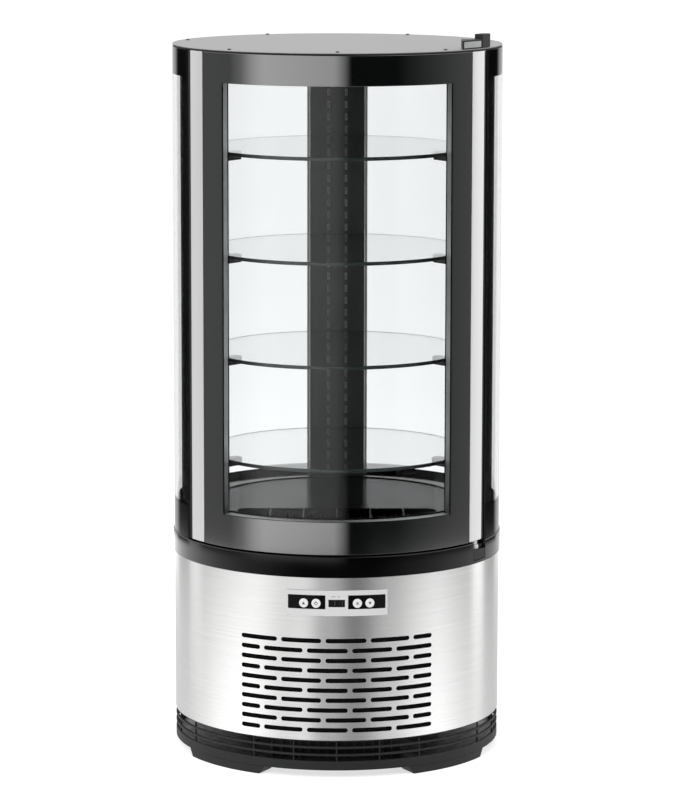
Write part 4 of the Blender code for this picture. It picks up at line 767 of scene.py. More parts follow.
# %% Light finishes
powder = finish("grey_powder_coat", "grey_paint", grey(0.35), 0.42)
powder_grain = grain(powder, 420, 3.0)
toned(powder, powder_grain, grey(0.31), grey(0.37))
roughened(powder, powder_grain, 0.36, 0.48)
embossed(powder, powder_grain, 0.20, 0.00012)

film = finish("control_film", "pale_plastic", grey(0.70), 0.34)
toned(film, grain(film, 500, 2.0), grey(0.68), grey(0.72))
roughened(film, grain(film, 500, 2.0), 0.28, 0.40)

key_white = finish("key_white", "white_plastic", (0.86, 0.86, 0.85), 0.30)
toned(key_white, grain(key_white, 200), (0.83, 0.83, 0.82), (0.89, 0.89, 0.88))
icon_grey = finish("icon_grey", "matt_black", grey(0.06), 0.5)
toned(icon_grey, grain(icon_grey, 300), grey(0.045), grey(0.08))

tray_plastic = finish("tray_plastic", "pale_plastic", (0.60, 0.61, 0.61), 0.40)
toned(tray_plastic, grain(tray_plastic, 80), (0.56, 0.57, 0.57), (0.64, 0.65, 0.65))

diffuser = finish("lamp_diffuser", "lamp", (0.88, 0.88, 0.85), 0.35)
toned(diffuser, grain(diffuser, (20, 200, 200)), (0.85, 0.85, 0.82), (0.91, 0.91, 0.88))

board = finish("circuit_board", "board", (0.03, 0.16, 0.07), 0.45)
toned(board, grain(board, (260, 40, 260), 1.0), (0.02, 0.11, 0.05), (0.04, 0.20, 0.09))

lens = finish("display_window", "display", (0.012, 0.011, 0.011), 0.06, IOR=1.5)
toned(lens, grain(lens, 40), (0.008, 0.007, 0.007), (0.013, 0.011, 0.011))
segment = finish("unlit_segments", "display", (0.09, 0.085, 0.085), 0.4)
toned(segment, grain(segment, 300), (0.10, 0.095, 0.095), (0.13, 0.125, 0.125))
print("finishes so far:", len(bpy.data.materials))

# %% [markdown]
# ## The drum
#
# The steel shell has ten rows of slots with round ends at the front and four rows at the back.
# Cutting them out with booleans would leave ragged triangles that show in a reflection, so the wall
# is laid out as a grid instead. Each row of slots has an upper and a lower line of points. Where
# there is no slot the two lines meet, along a slot they part by its height, and at its ends they
# follow a half circle.

# %% The rows of slots
SLOT_HEIGHT = 0.0061
SLOT_PITCH = 0.01356
SLOT_LOWEST = 0.0141
SLOT_BRIDGE = 1.5
FRONT_SLOTS = {"middle": 0, "rows": 10, "half": 34.7, "first": -20.1, "step": 15.53, "bridges": 4}
REAR_SLOTS = {"middle": 180, "rows": 4, "half": 22.0, "first": -7.3, "step": 14.6, "bridges": 2}
WINDOW_HALF_ANGLE = 15.0
WINDOW_MARGIN = 0.0060
END_TURNS = (0, 18, 36, 54, 72, 90)
WALL_START = -90
COLUMN_STEP = 2
COLUMN_CLEAR = 0.7


def slots_of(field, row):
    """Start and end bearings of the slots in a row. The bridges swap sides from one row to the next."""
    if row >= field["rows"]:
        return []
    side = -1 if row % 2 == 0 else 1
    bridges = sorted(side * (field["first"] + index * field["step"]) for index in range(field["bridges"]))
    edges = [-field["half"]]
    for bridge in bridges:
        edges += [bridge - SLOT_BRIDGE / 2, bridge + SLOT_BRIDGE / 2]
    edges.append(field["half"])
    return [(field["middle"] + a, field["middle"] + b) for a, b in zip(edges[::2], edges[1::2])]


END_ANGLE = math.degrees(SLOT_HEIGHT / 2 / SHELL_RADIUS)
SLOT_ROWS = [slots_of(FRONT_SLOTS, row) + slots_of(REAR_SLOTS, row) for row in range(FRONT_SLOTS["rows"])]


def slot_half_height(slots, bearing):
    """Half the height of the opening at a bearing: none on a bridge, round at the ends of a slot."""
    for start, end in slots:
        inside = min(bearing - start, end - bearing)
        if inside >= -TINY:
            share = min(1.0, max(0.0, inside) / END_ANGLE)
            return SLOT_HEIGHT / 2 * math.sqrt(1 - (1 - share) ** 2)
    return 0.0


print("slots:", sum(len(row) for row in SLOT_ROWS))

# %% [markdown]
# The grid's columns stand at every slot end, closely spaced round its curve, and every two degrees
# elsewhere. The wall starts as one open surface, gets a second one behind it, and a rim joins the
# two wherever it is open. Its columns are uneven, so its shading is set from the axis of the drum,
# or every slot end would show as a streak.

# %% The steel shell


def shell_columns():
    """Bearings of the grid's columns, over a full turn from the middle of the left side."""
    ends = [
        edge + side * END_ANGLE * (1 - math.cos(math.radians(turn)))
        for row in SLOT_ROWS[:2]
        for start, end in row
        for edge, side in ((start, 1), (end, -1))
        for turn in END_TURNS
    ]
    fixed = merged(ends, [-WINDOW_HALF_ANGLE, WINDOW_HALF_ANGLE])
    even = spread(WALL_START, WALL_START + 360, COLUMN_STEP)
    rest = [turn for turn in even if all(abs(turn - other) > COLUMN_CLEAR for other in fixed)]
    return merged(fixed, rest)


def shell_levels(columns):
    """Rows of points from the bottom up: (height at each column, True where the strip above is open)."""
    half = SLOT_PITCH / 2
    levels = [([SHELL_LOW] * len(columns), False)]
    for row, slots in enumerate(SLOT_ROWS):
        middle = SHELL_LOW + SLOT_LOWEST + row * SLOT_PITCH
        opening = [slot_half_height(slots, turn) for turn in columns]
        levels.append(([middle - half] * len(columns), False))
        levels.append(([middle - rise for rise in opening], True))
        levels.append(([middle + rise for rise in opening], False))
    low, high = FASCIA_LOW + WINDOW_MARGIN, FASCIA_HIGH - WINDOW_MARGIN
    levels.append(([low] * len(columns), False))
    levels.append(([high] * len(columns), False))
    levels.append(([SHELL_HIGH] * len(columns), False))
    return levels


def steel_wall():
    """The outer face of the shell, with its slots and the window for the controls left open."""
    shape = bmesh.new()
    columns = shell_columns()
    levels = shell_levels(columns)
    points = [
        [shape.verts.new(at(SHELL_RADIUS, turn, height)) for turn, height in zip(columns, row)]
        for row, _ in levels
    ]
    window = len(levels) - 3
    for level, (_, opens) in enumerate(levels[:-1]):
        if opens:
            continue
        for index in range(len(columns)):
            after = (index + 1) % len(columns)
            middle = (columns[index] + columns[after]) / 2
            if level == window and after and abs(middle) < WINDOW_HALF_ANGLE:
                continue
            low, high = points[level], points[level + 1]
            shape.faces.new((low[index], low[after], high[after], high[index]))
    bmesh.ops.remove_doubles(shape, verts=shape.verts, dist=TINY)
    return shape


def thickened(shape, wall):
    """Gives an open surface of the drum its thickness, also round every opening."""
    rims = [tuple(edge.verts) for edge in shape.edges if edge.is_boundary]
    faces = [tuple(face.verts) for face in shape.faces]
    inside = {}
    for point in list(shape.verts):
        spot = at(point.co.xy.length - wall, bearing_of(point.co), point.co.z)
        inside[point] = shape.verts.new(spot)
    for corners in faces:
        shape.faces.new([inside[point] for point in reversed(corners)])
    for first, second in rims:
        shape.faces.new((first, second, inside[second], inside[first]))
    return outwards(shape)


FACING_SHARE = 0.95


def round_shading(made):
    """Shades the drum's wall as a true cylinder, however its faces are laid out."""
    mesh = made.data
    normals = []
    for face in mesh.polygons:
        for corner in face.loop_indices:
            point = mesh.vertices[mesh.loops[corner].vertex_index].co
            out = Vector((point.x, point.y, 0)).normalized()
            lean = face.normal.dot(out)
            on_wall = abs(lean) > FACING_SHARE
            normals.append(out * math.copysign(1, lean) if on_wall else face.normal)
    mesh.normals_split_custom_set(normals)


SHELL_WALL = 0.0012
shell = piece("steel_drum", thickened(steel_wall(), SHELL_WALL), "cabinet", [steel], ["steel_shell"])
round_shading(shell)

# %% [markdown]
# Behind the front slots lies a thin black sheet. It is painted shade: it stands for the dark
# inside of the drum, so that the slots look evenly black.

# %% Black sheet of painted shade behind the slots
SHADE_SHEET_GAP = 0.0008
SHADE_SHEET = 0.0030
SHADE_SHEET_MARGIN = 0.0060
SHADE_SHEET_SIDE = 1.5
shade_sheet_outer = SHELL_RADIUS - SHELL_WALL - SHADE_SHEET_GAP
shade_sheet_high = SHELL_LOW + SLOT_LOWEST + (FRONT_SLOTS["rows"] - 1) * SLOT_PITCH + SHADE_SHEET_MARGIN
shade_sheet_low = SHELL_LOW + SLOT_LOWEST - SHADE_SHEET_MARGIN
shade_sheet_half = FRONT_SLOTS["half"] + SHADE_SHEET_SIDE
shade_sheet_shape = bent(shade_sheet_outer - SHADE_SHEET, shade_sheet_outer, shade_sheet_low, shade_sheet_high, spread(-shade_sheet_half, shade_sheet_half))
piece("slot_shade_sheet", shade_sheet_shape, "cabinet", [shade_sheet_black])

# %% [markdown]
# ## Geometry Nodes for what repeats
#
# The skirt's louvres, the screws, the lips of the air slots and the holes of the door's spacer are
# all one shape set out by a rule. A node tree per rule keeps that rule in one place, with its sizes
# as named inputs. Two helpers build such a tree and run it: the result is taken as a plain mesh, so
# nothing depends on the tree afterwards.

# %% Helpers for node trees
KINDS = {float: "NodeSocketFloat", int: "NodeSocketInt", "material": "NodeSocketMaterial"}


def new_tree(name, **inputs):
    """An empty tree with a geometry input and output, and one named input for each size."""
    tree = bpy.data.node_groups.new(name, "GeometryNodeTree")
    tree.interface.new_socket(name="Geometry", in_out="INPUT", socket_type="NodeSocketGeometry")
    tree.interface.new_socket(name="Geometry", in_out="OUTPUT", socket_type="NodeSocketGeometry")
    for size, kind in inputs.items():
        tree.interface.new_socket(name=size, in_out="INPUT", socket_type=KINDS[kind])
    return tree, tree.nodes.new("NodeGroupInput").outputs, tree.nodes.new("NodeGroupOutput")


def add(tree, kind, inputs=(), **settings):
    """A node of a tree, with its settings, and its inputs linked or set. Returns its first output."""
    new = tree.nodes.new(kind)
    for key, value in settings.items():
        setattr(new, key, value)
    for socket, value in dict(inputs).items():
        if isinstance(value, bpy.types.NodeSocket):
            tree.links.new(value, new.inputs[socket])
        elif isinstance(value, list):
            for link in reversed(value):
                tree.links.new(link, new.inputs[socket])
        else:
            new.inputs[socket].default_value = value
    return new.outputs[0]


def calc(tree, kind, first, second):
    """A Math node's result."""
    return add(tree, "ShaderNodeMath", {0: first, 1: second}, operation=kind)


def vector(tree, x=0.0, y=0.0, z=0.0):
    """Three numbers or sockets as a vector."""
    return add(tree, "ShaderNodeCombineXYZ", {"X": x, "Y": y, "Z": z})


def close_tree(tree, output, geometry, material):
    """Ends a tree: real geometry instead of instances, and its finish."""
    real = add(tree, "GeometryNodeRealizeInstances", {"Geometry": geometry})
    worn = add(tree, "GeometryNodeSetMaterial", {"Geometry": real, "Material": material})
    tree.links.new(worn, output.inputs["Geometry"])
    return tree


def grown(name, tree, body, worn, values, base=None, bevel=0.0, place=None):
    """Runs a tree and keeps its result as a piece with a plain mesh."""
    values = {**values, "Material": worn}
    holder = bpy.data.objects.new("holder", base or bpy.data.meshes.new("holder"))
    bpy.context.scene.collection.objects.link(holder)
    step = holder.modifiers.new("grow", "NODES")
    step.node_group = tree
    for item in tree.interface.items_tree:
        if item.in_out == "INPUT" and item.name in values:
            step[item.identifier] = values[item.name]
    ready = holder.evaluated_get(bpy.context.evaluated_depsgraph_get())
    mesh = bpy.data.meshes.new_from_object(ready)
    bpy.data.objects.remove(holder)
    mesh.transform(place or Matrix())
    return piece(name, mesh, body, [worn], bevel=bevel)


# %% [markdown]
# The skirt is a moulded ring. Bars run all the way round, at even heights, and upright ribs tie
# them together every 15 degrees, except over the feet. In the tree a bar is a circle with a
# rectangular section, copied up a line of points, and a rib is a box copied onto the points of a
# circle.

# %% The louvred skirt
SKIRT_WALL = 0.0030
FOOT_HEIGHT = 0.0111
SKIRT_BAND = 0.0125
LOUVRE_HEIGHT = 0.0069
LOUVRE_BAR = 0.0032
LOUVRE_ROWS = 3
RIB_WIDTH = 0.0018
RIB_RECESS = 0.0006
RIB_PLACES = 24
FOOT_BEARINGS = (45, 135, -135, -45)
RING_SIDES = 240


def ring_bar(tree, circle, width, height, centre):
    """A ring with a rectangular section, its middle at a height."""
    section = add(tree, "GeometryNodeCurvePrimitiveQuadrilateral", {"Width": width, "Height": height})
    ring = add(tree, "GeometryNodeCurveToMesh", {"Curve": circle, "Profile Curve": section})
    return add(tree, "GeometryNodeTransform", {"Geometry": ring, "Translation": vector(tree, z=centre)})


def louvre_tree():
    """Bars all round, tied by upright ribs."""
    tree, size, output = new_tree(
        "louvred_ring",
        Radius=float,
        Wall=float,
        Bar=float,
        Opening=float,
        Rows=int,
        Low=float,
        Rib=float,
        Recess=float,
        Places=int,
        Material="material",
    )
    middle = calc(tree, "SUBTRACT", size["Radius"], calc(tree, "DIVIDE", size["Wall"], 2.0))
    circle = add(tree, "GeometryNodeCurvePrimitiveCircle", {"Resolution": RING_SIDES, "Radius": middle})
    pitch = calc(tree, "ADD", size["Bar"], size["Opening"])
    first = calc(tree, "SUBTRACT", pitch, calc(tree, "DIVIDE", size["Bar"], 2.0))
    first = calc(tree, "ADD", size["Low"], first)
    bar = ring_bar(tree, circle, size["Wall"], size["Bar"], 0.0)
    count = calc(tree, "SUBTRACT", size["Rows"], 1.0)
    steps = {"Count": count, "Start Location": vector(tree, z=first), "Offset": vector(tree, z=pitch)}
    line = add(tree, "GeometryNodeMeshLine", steps)
    bars = add(tree, "GeometryNodeInstanceOnPoints", {"Points": line, "Instance": bar})
    rise = calc(tree, "MULTIPLY", pitch, size["Rows"])
    depth = calc(tree, "SUBTRACT", size["Wall"], size["Recess"])
    rib = add(tree, "GeometryNodeMeshCube", {"Size": vector(tree, depth, size["Rib"], rise)})
    spots = add(tree, "GeometryNodeMeshCircle", {"Vertices": size["Places"], "Radius": middle})
    height = calc(tree, "ADD", size["Low"], calc(tree, "DIVIDE", rise, 2.0))
    spots = add(tree, "GeometryNodeTransform", {"Geometry": spots, "Translation": vector(tree, z=height)})
    index = add(tree, "GeometryNodeInputIndex")
    quarter = RIB_PLACES / len(FOOT_BEARINGS)
    over_foot = calc(tree, "COMPARE", calc(tree, "MODULO", index, quarter), quarter / 2)
    turn = calc(tree, "DIVIDE", calc(tree, "MULTIPLY", index, math.tau), size["Places"])
    shown = calc(tree, "SUBTRACT", 1.0, over_foot)
    setting = {"Points": spots, "Instance": rib, "Selection": shown, "Rotation": vector(tree, z=turn)}
    ribs = add(tree, "GeometryNodeInstanceOnPoints", setting)
    joined = add(tree, "GeometryNodeJoinGeometry", {"Geometry": [bars, ribs]})
    return close_tree(tree, output, joined, size["Material"])


band_top = SKIRT_LOW + FOOT_HEIGHT + SKIRT_BAND
grown(
    "skirt_louvres",
    louvre_tree(),
    "cabinet",
    moulding,
    {
        "Radius": SKIRT_RADIUS,
        "Wall": SKIRT_WALL,
        "Bar": LOUVRE_BAR,
        "Opening": LOUVRE_HEIGHT,
        "Rows": LOUVRE_ROWS,
        "Low": band_top,
        "Rib": RIB_WIDTH,
        "Recess": RIB_RECESS,
        "Places": RIB_PLACES,
    },
    bevel=0.0004,
)

# %% [markdown]
# Below the louvres the skirt is a plain band, above them a thin lip, and four feet hang under it.
# Their ends lean inwards, as moulded feet do. These are swept profiles again.

# %% The skirt's bands and feet
FOOT_ANGLE = 38.6
FOOT_DEPTH = 0.0335
FOOT_INSET = 0.0005
FOOT_LEAN = 2.2
SKIRT_FLANGE = 0.0030
SKIRT_FLANGE_REACH = 0.0360


def skirt_bands():
    """The lower band with its flange, and the lip above the louvres."""
    inner = SKIRT_RADIUS - SKIRT_WALL
    low = SKIRT_LOW + FOOT_HEIGHT
    band = [
        (SKIRT_RADIUS, low),
        (SKIRT_RADIUS, band_top),
        (inner, band_top),
        (inner, low + SKIRT_FLANGE),
        (SKIRT_RADIUS - SKIRT_FLANGE_REACH, low + SKIRT_FLANGE),
        (SKIRT_RADIUS - SKIRT_FLANGE_REACH, low),
    ]
    lip_low = band_top + LOUVRE_ROWS * (LOUVRE_HEIGHT + LOUVRE_BAR) - LOUVRE_BAR
    lip = bent(inner, SKIRT_RADIUS, lip_low, SKIRT_HIGH, FULL_TURN)
    return gathered([swept(band, FULL_TURN), lip])


def foot(bearing):
    """One foot, with ends that lean in towards the floor."""
    outer = SKIRT_RADIUS - FOOT_INSET
    half = FOOT_ANGLE / 2
    turns = spread(bearing - half, bearing + half)
    shape = bent(outer - FOOT_DEPTH, outer, SKIRT_LOW, SKIRT_LOW + FOOT_HEIGHT, turns)
    for point in shape.verts:
        off = bearing_of(Matrix.Rotation(-math.radians(bearing), 3, "Z") @ point.co)
        if point.co.z < SKIRT_LOW + FOOT_HEIGHT / 2 and abs(off) > half - FOOT_LEAN:
            drawn = math.copysign(half - FOOT_LEAN, off) + bearing
            radius = point.co.xy.length
            point.co = at(radius, drawn, point.co.z)
    bmesh.ops.remove_doubles(shape, verts=shape.verts, dist=TINY)
    return outwards(shape)


piece("skirt_band", skirt_bands(), "cabinet", [moulding], ["base_skirt"], bevel=0.0005)
feet = gathered([foot(bearing) for bearing in FOOT_BEARINGS])
piece("skirt_feet", feet, "cabinet", [moulding], bevel=0.0006)

# %% [markdown]
# ## The collar and the hinge block in it
#
# The collar is a gloss ring with a rounded upper edge. It is open over a few degrees on the right,
# where the bearing block of the hinge sits. One more row of points lies close under the round edge.
# Without it the smooth shading of the edge would run down the whole wall, and a mirror-like wall
# would seem to lean back.

# %% Collar
COLLAR_WALL = 0.0040
COLLAR_DECK = 0.0040
COLLAR_EDGE = 0.0016
COLLAR_REACH = 0.0564
CORNER_TURNS = (0, 22.5, 45, 67.5, 90)
hinge_low, hinge_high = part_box("lower_hinge_bracket")
PIVOT = Vector(next(joint for joint in frame["joints"] if joint["name"] == "door_swing")["pos_m"])
HINGE_BEARING = bearing_of(PIVOT)
HINGE_RADIUS = PIVOT.xy.length
SEAT_HALF_ANGLE = 4.15
collar_wall = COLLAR_RADIUS - COLLAR_WALL
collar_inner = SHELL_RADIUS - COLLAR_REACH
collar_section = [
    (COLLAR_RADIUS, COLLAR_LOW),
    (COLLAR_RADIUS, COLLAR_HIGH - COLLAR_EDGE - GAP),
    *rounded(COLLAR_RADIUS, COLLAR_HIGH, COLLAR_EDGE, CORNER_TURNS),
    (collar_inner, COLLAR_HIGH),
    (collar_inner, COLLAR_HIGH - COLLAR_DECK),
    (collar_wall, COLLAR_HIGH - COLLAR_DECK),
    (collar_wall, COLLAR_LOW),
]
round_the_back = spread(HINGE_BEARING + SEAT_HALF_ANGLE, HINGE_BEARING - SEAT_HALF_ANGLE + 360)
collar = swept(collar_section, round_the_back)
under_hinge = spread(HINGE_BEARING - SEAT_HALF_ANGLE, HINGE_BEARING + SEAT_HALF_ANGLE, 1.0)
bridge = bent(collar_wall, COLLAR_RADIUS, COLLAR_LOW, hinge_low.z - GAP, under_hinge)
piece("gloss_collar", gathered([collar, bridge]), "cabinet", [collar_black], ["collar_ring"])

# %% [markdown]
# ## The hinge
#
# The door turns on a pin in a block that sits in the collar, and on a second pin under a bracket on
# the top cover. The bush between the block and the door is bright turned steel. Small turned parts
# like it are a profile about their own axis, so their place is a matrix on the pivot.

# %% Lower hinge
PIN_RADIUS = 0.0030
BUSH_RADIUS = 0.0066
BUSH_NECK = 0.0048
BUSH_CHAMFER = 0.0006
BUSH_STEP = 0.0008
BUSH_WAIST_SHARE = 0.45
BLOCK_DEPTH = 0.0190
BLOCK_HALF_ANGLE = 4
seat_turns = spread(HINGE_BEARING - BLOCK_HALF_ANGLE, HINGE_BEARING + BLOCK_HALF_ANGLE, 1.0)
seat = bent(COLLAR_RADIUS - BLOCK_DEPTH, COLLAR_RADIUS, hinge_low.z, hinge_high.z, seat_turns)
piece("hinge_block", seat, "cabinet", [moulding], ["lower_hinge_bracket"], bevel=0.0012, segments=3)
pin_low, pin_high = heights("lower_hinge_pin")
bush_top = DOOR_LOW - GAP
waist = pin_low + (bush_top - pin_low) * BUSH_WAIST_SHARE
bush = [
    (0, pin_low),
    (BUSH_RADIUS, pin_low),
    (BUSH_RADIUS, waist),
    (BUSH_NECK, waist + BUSH_STEP),
    (BUSH_NECK, bush_top - 2 * BUSH_STEP),
    (BUSH_RADIUS - BUSH_CHAMFER, bush_top - BUSH_STEP),
    (BUSH_RADIUS - BUSH_CHAMFER, bush_top),
    (PIN_RADIUS, bush_top),
    (PIN_RADIUS, pin_high),
    (0, pin_high),
]
on_pivot = Matrix.Translation(at(HINGE_RADIUS, HINGE_BEARING))
piece("hinge_bush", turned(bush, on_pivot, 40), "cabinet", [bright_metal], ["lower_hinge_pin"], bevel=0.0003)

# %% [markdown]
# The upper bracket is a black block with a grey face plate, and a taller riser beside it. The pin
# under it is part of the same piece.

# %% Upper hinge
bracket_low, bracket_high = heights("upper_hinge_bracket")
BRACKET_BASE = COVER_HIGH + GAP
BLOCK_RISE = 0.0118
BLOCK_TOP = BRACKET_BASE + BLOCK_RISE
BLOCK_ANGLE = 11.7
RISER_DEPTH = 0.0125
RISER_START = HINGE_BEARING - 0.1
RISER_ANGLE = 6.6
PLATE_INSET = 0.0009
FACE_MARGINS = {"below": 0.0014, "above": 0.0022, "left": 0.9, "right": 0.7}
block_front = arc(COVER_RADIUS - PLATE_INSET, RISER_START - BLOCK_ANGLE, RISER_START, 1.0)
block_back = at(COVER_RADIUS - RISER_DEPTH, RISER_START)
block_corner = Vector((block_front[0].x, block_back.y, 0))
block = prism([*block_front, block_back, block_corner], BRACKET_BASE, BLOCK_TOP)
riser_turns = spread(RISER_START + 2 * TURN_GAP, RISER_START + RISER_ANGLE, 1.0)
riser = bent(COVER_RADIUS - RISER_DEPTH, COVER_RADIUS - GAP, BRACKET_BASE, bracket_high, riser_turns)
stub = turned(disc(PIN_RADIUS, bracket_low, BRACKET_BASE), on_pivot, 32)
piece(
    "upper_hinge_block",
    gathered([block, riser, stub]),
    "cabinet",
    [moulding],
    ["upper_hinge_bracket"],
    bevel=0.0011,
    segments=3,
)
face_low = BRACKET_BASE + FACE_MARGINS["below"]
face_high = BLOCK_TOP - FACE_MARGINS["above"]
face_start = RISER_START - BLOCK_ANGLE + FACE_MARGINS["left"]
face_turns = spread(face_start, RISER_START - FACE_MARGINS["right"], 1.0)
face = bent(COVER_RADIUS - 2 * PLATE_INSET, COVER_RADIUS, face_low, face_high, face_turns)
piece("upper_hinge_face", face, "cabinet", [spacer_metal], bevel=0.0003)

# %% [markdown]
# ## Controls
#
# A pale curved film covers the window of the drum. It carries two black fields with two keys each,
# and a display between them with three small marks above it. The lettering below it on the real
# machine is left out, and its place is bare steel.

# %% Control film
FILM_THICKNESS = 0.0012
fascia_inner = SHELL_RADIUS + WIDE_GAP
fascia_outer = fascia_inner + FILM_THICKNESS
FASCIA_HALF_ANGLE = 17.5
CONTROL_HEIGHT = (FASCIA_LOW + FASCIA_HIGH) / 2
FIELD_HEIGHT = 0.0188
FIELD_ENDS = (3.85, 16.7)
FIELD_THICKNESS = 0.0002
FIELD_RISE = 0.0015
DISPLAY_HALF_ANGLE = 2.8
plate_turns = spread(-FASCIA_HALF_ANGLE, FASCIA_HALF_ANGLE)
plate = bent(fascia_inner, fascia_outer, FASCIA_LOW, FASCIA_HIGH, plate_turns)
piece("control_plate", plate, "cabinet", [film], ["control_fascia"], bevel=0.0004)
field_inner, field_outer = fascia_outer - FIELD_THICKNESS, fascia_outer + FIELD_THICKNESS
low = CONTROL_HEIGHT + FIELD_RISE - FIELD_HEIGHT / 2
fields = [
    bent(field_inner, field_outer, low, low + FIELD_HEIGHT, to_side(side, spread(*FIELD_ENDS)))
    for side in (-1, 1)
]
piece("control_fields", gathered(fields), "cabinet", [gloss], bevel=0.0001)
lens_low, lens_high = heights("display_lens")
window_turns = spread(-DISPLAY_HALF_ANGLE, DISPLAY_HALF_ANGLE)
window = bent(fascia_inner, field_outer, lens_low, lens_high, window_turns)
piece("display_window", window, "cabinet", [lens], ["display_lens"], bevel=0.0002)

# %% [markdown]
# The display shows two seven-segment figures, unlit. A segment is a thin bar, and a figure is seven
# of them by name, which is the usual way to spell such figures.

# %% Display figures and marks
LEVEL_BARS = (-1, 0, 1)
UPRIGHT_BARS = ((-1, 0.5), (1, 0.5), (-1, -0.5), (1, -0.5))
FIGURE_HEIGHT = 0.0062
FIGURE_WIDTH = 0.0032
BAR_WIDTH = 0.0006
BAR_THICKNESS = 0.00008
FIGURE_BEARINGS = (-0.2, 1.5)
MARK_BEARINGS = (-1.55, -0.75, 0.7)
MARK_RADIUS = 0.0007
MARK_THICKNESS = 0.0001
MARK_RISE = 0.0042


def bar(place, x, y, width, height):
    """A thin bar on the face of a place."""
    return box(
        (x - width / 2, y - height / 2, -BAR_THICKNESS), (x + width / 2, y + height / 2, BAR_THICKNESS), place
    )


def figure(bearing):
    """A seven-segment figure, all its segments there but unlit."""
    place = outward(fascia_outer + FIELD_THICKNESS / 2, bearing, (lens_low + lens_high) / 2)
    level = [
        bar(place, 0, share * FIGURE_HEIGHT / 2, FIGURE_WIDTH - BAR_WIDTH, BAR_WIDTH)
        for share in LEVEL_BARS
    ]
    length = FIGURE_HEIGHT / 2 - BAR_WIDTH
    upright = [
        bar(place, side * FIGURE_WIDTH / 2, share * FIGURE_HEIGHT / 2, BAR_WIDTH, length)
        for side, share in UPRIGHT_BARS
    ]
    return gathered(level + upright)


figures = gathered([figure(bearing) for bearing in FIGURE_BEARINGS])
piece("display_figures", figures, "cabinet", [segment])
marks = [
    turned(disc(MARK_RADIUS, 0, MARK_THICKNESS), outward(fascia_outer, bearing, lens_high + MARK_RISE), 16)
    for bearing in MARK_BEARINGS
]
piece("control_marks", gathered(marks), "cabinet", [icon_grey])

# %% [markdown]
# Each key is a low dome with a plain sign on it: a triangle up, a switch sign, a snow crystal and a
# triangle down. The keys move, so each key and its sign ride on the key's own body.

# %% Keys
KEY_RADIUS = 0.0062
KEY_LENGTH = 0.0085
KEY_RISE = 0.0014
KEY_EDGE = 0.0009
KEY_CROWN = 0.0002
KEY_EDGE_TURNS = (0, 30, 60, 90)
SIGN_SIZE = 0.0042
TRIANGLE_SHARE = 0.8
RING_SHARES = (0.36, 0.52)
STROKE_SHARES = {"centre": 0.42, "width": 0.16, "height": 0.5}
ARM_SHARES = (0.13, 1.15)
ARM_TURNS = (0, 60, 120)


def key_profile():
    """A key cap with a round edge and a slightly crowned face."""
    edge = rounded(KEY_RADIUS, -KEY_CROWN, KEY_EDGE, KEY_EDGE_TURNS)
    return [(0, -KEY_LENGTH), (KEY_RADIUS, -KEY_LENGTH), *edge, (KEY_RADIUS / 2, -KEY_CROWN / 4), (0, 0)]


def triangle(place, direction):
    """A flat triangle that points up or down."""
    half = SIGN_SIZE / 2
    base = -direction * half * TRIANGLE_SHARE
    corners = ((-half, base), (half, base), (0, direction * half))
    shape = prism([Vector((x, y, 0)) for x, y in corners], -BAR_THICKNESS * 2, BAR_THICKNESS)
    bmesh.ops.transform(shape, matrix=place, verts=shape.verts)
    return shape


def switch_sign(place):
    """A ring with a bar through its top."""
    inner, outer = (SIGN_SIZE * share for share in RING_SHARES)
    back, front = -BAR_THICKNESS * 2, BAR_THICKNESS
    ring = [(inner, back), (outer, back), (outer, front), (inner, front)]
    centre, width, height = (SIGN_SIZE * STROKE_SHARES[key] for key in ("centre", "width", "height"))
    stroke = bar(place, 0, centre, width, height)
    return gathered([turned(ring, place, 32), stroke])


def crystal(place):
    """Three crossed bars."""
    width, length = (SIGN_SIZE * share for share in ARM_SHARES)
    arms = [
        bar(place @ Matrix.Rotation(math.radians(turn), 4, "Z"), 0, 0, width, length)
        for turn in ARM_TURNS
    ]
    return gathered(arms)


SIGNS = (
    lambda place: triangle(place, 1),
    switch_sign,
    crystal,
    lambda place: triangle(place, -1),
)
for number, sign in enumerate(SIGNS, start=1):
    corner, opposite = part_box(f"button_{number}")
    middle = (corner + opposite) / 2
    place = outward(fascia_outer + KEY_RISE, bearing_of(middle), middle.z)
    body = f"key_{number}"
    cap = turned(key_profile(), place)
    piece(f"key_{number}_cap", cap, body, [key_white], [f"button_{number}"])
    sign_place = place @ Matrix.Translation((0, 0, BAR_THICKNESS))
    piece(f"key_{number}_sign", sign(sign_place), body, [icon_grey])

# %% [markdown]
# ## The cabin's lower end
#
# The tub is one insulated moulding. Its rim stands up inside the glass, and the gloss deck of the
# cabin lies just under it. The deck has a wide air inlet towards the door with ribs across it. A
# flat sheet with an opening is quickest from two outlines: the area between them is filled and
# raised.

# %% Tub and deck
TUB_WALL = 0.0100
WELL_SETBACK = 0.0140
WELL_RADIUS = FLOOR_RADIUS - WELL_SETBACK
LEDGE = FLOOR_LOW - GAP
TUB_BOTTOM = 0.0140
DECK = 0.0025
DECK_RIM = 0.0030
RIM_SETBACK = 0.0001
tub_profile = [
    (0, TUB_LOW),
    (WELL_RADIUS + TUB_WALL, TUB_LOW),
    (WELL_RADIUS + TUB_WALL, COLLAR_HIGH + GAP),
    (TUB_RADIUS, COLLAR_HIGH + GAP),
    (TUB_RADIUS, TUB_RIM),
    (FLOOR_RADIUS + WIDE_GAP, TUB_RIM),
    (FLOOR_RADIUS + WIDE_GAP, LEDGE),
    (WELL_RADIUS, LEDGE),
    (WELL_RADIUS, TUB_LOW + TUB_BOTTOM),
    (0, TUB_LOW + TUB_BOTTOM),
]
tub = swept(tub_profile, FULL_TURN)
piece("cabin_tub", tub, "cabinet", [gloss], ["insulated_tub"], bevel=0.0012, segments=3)

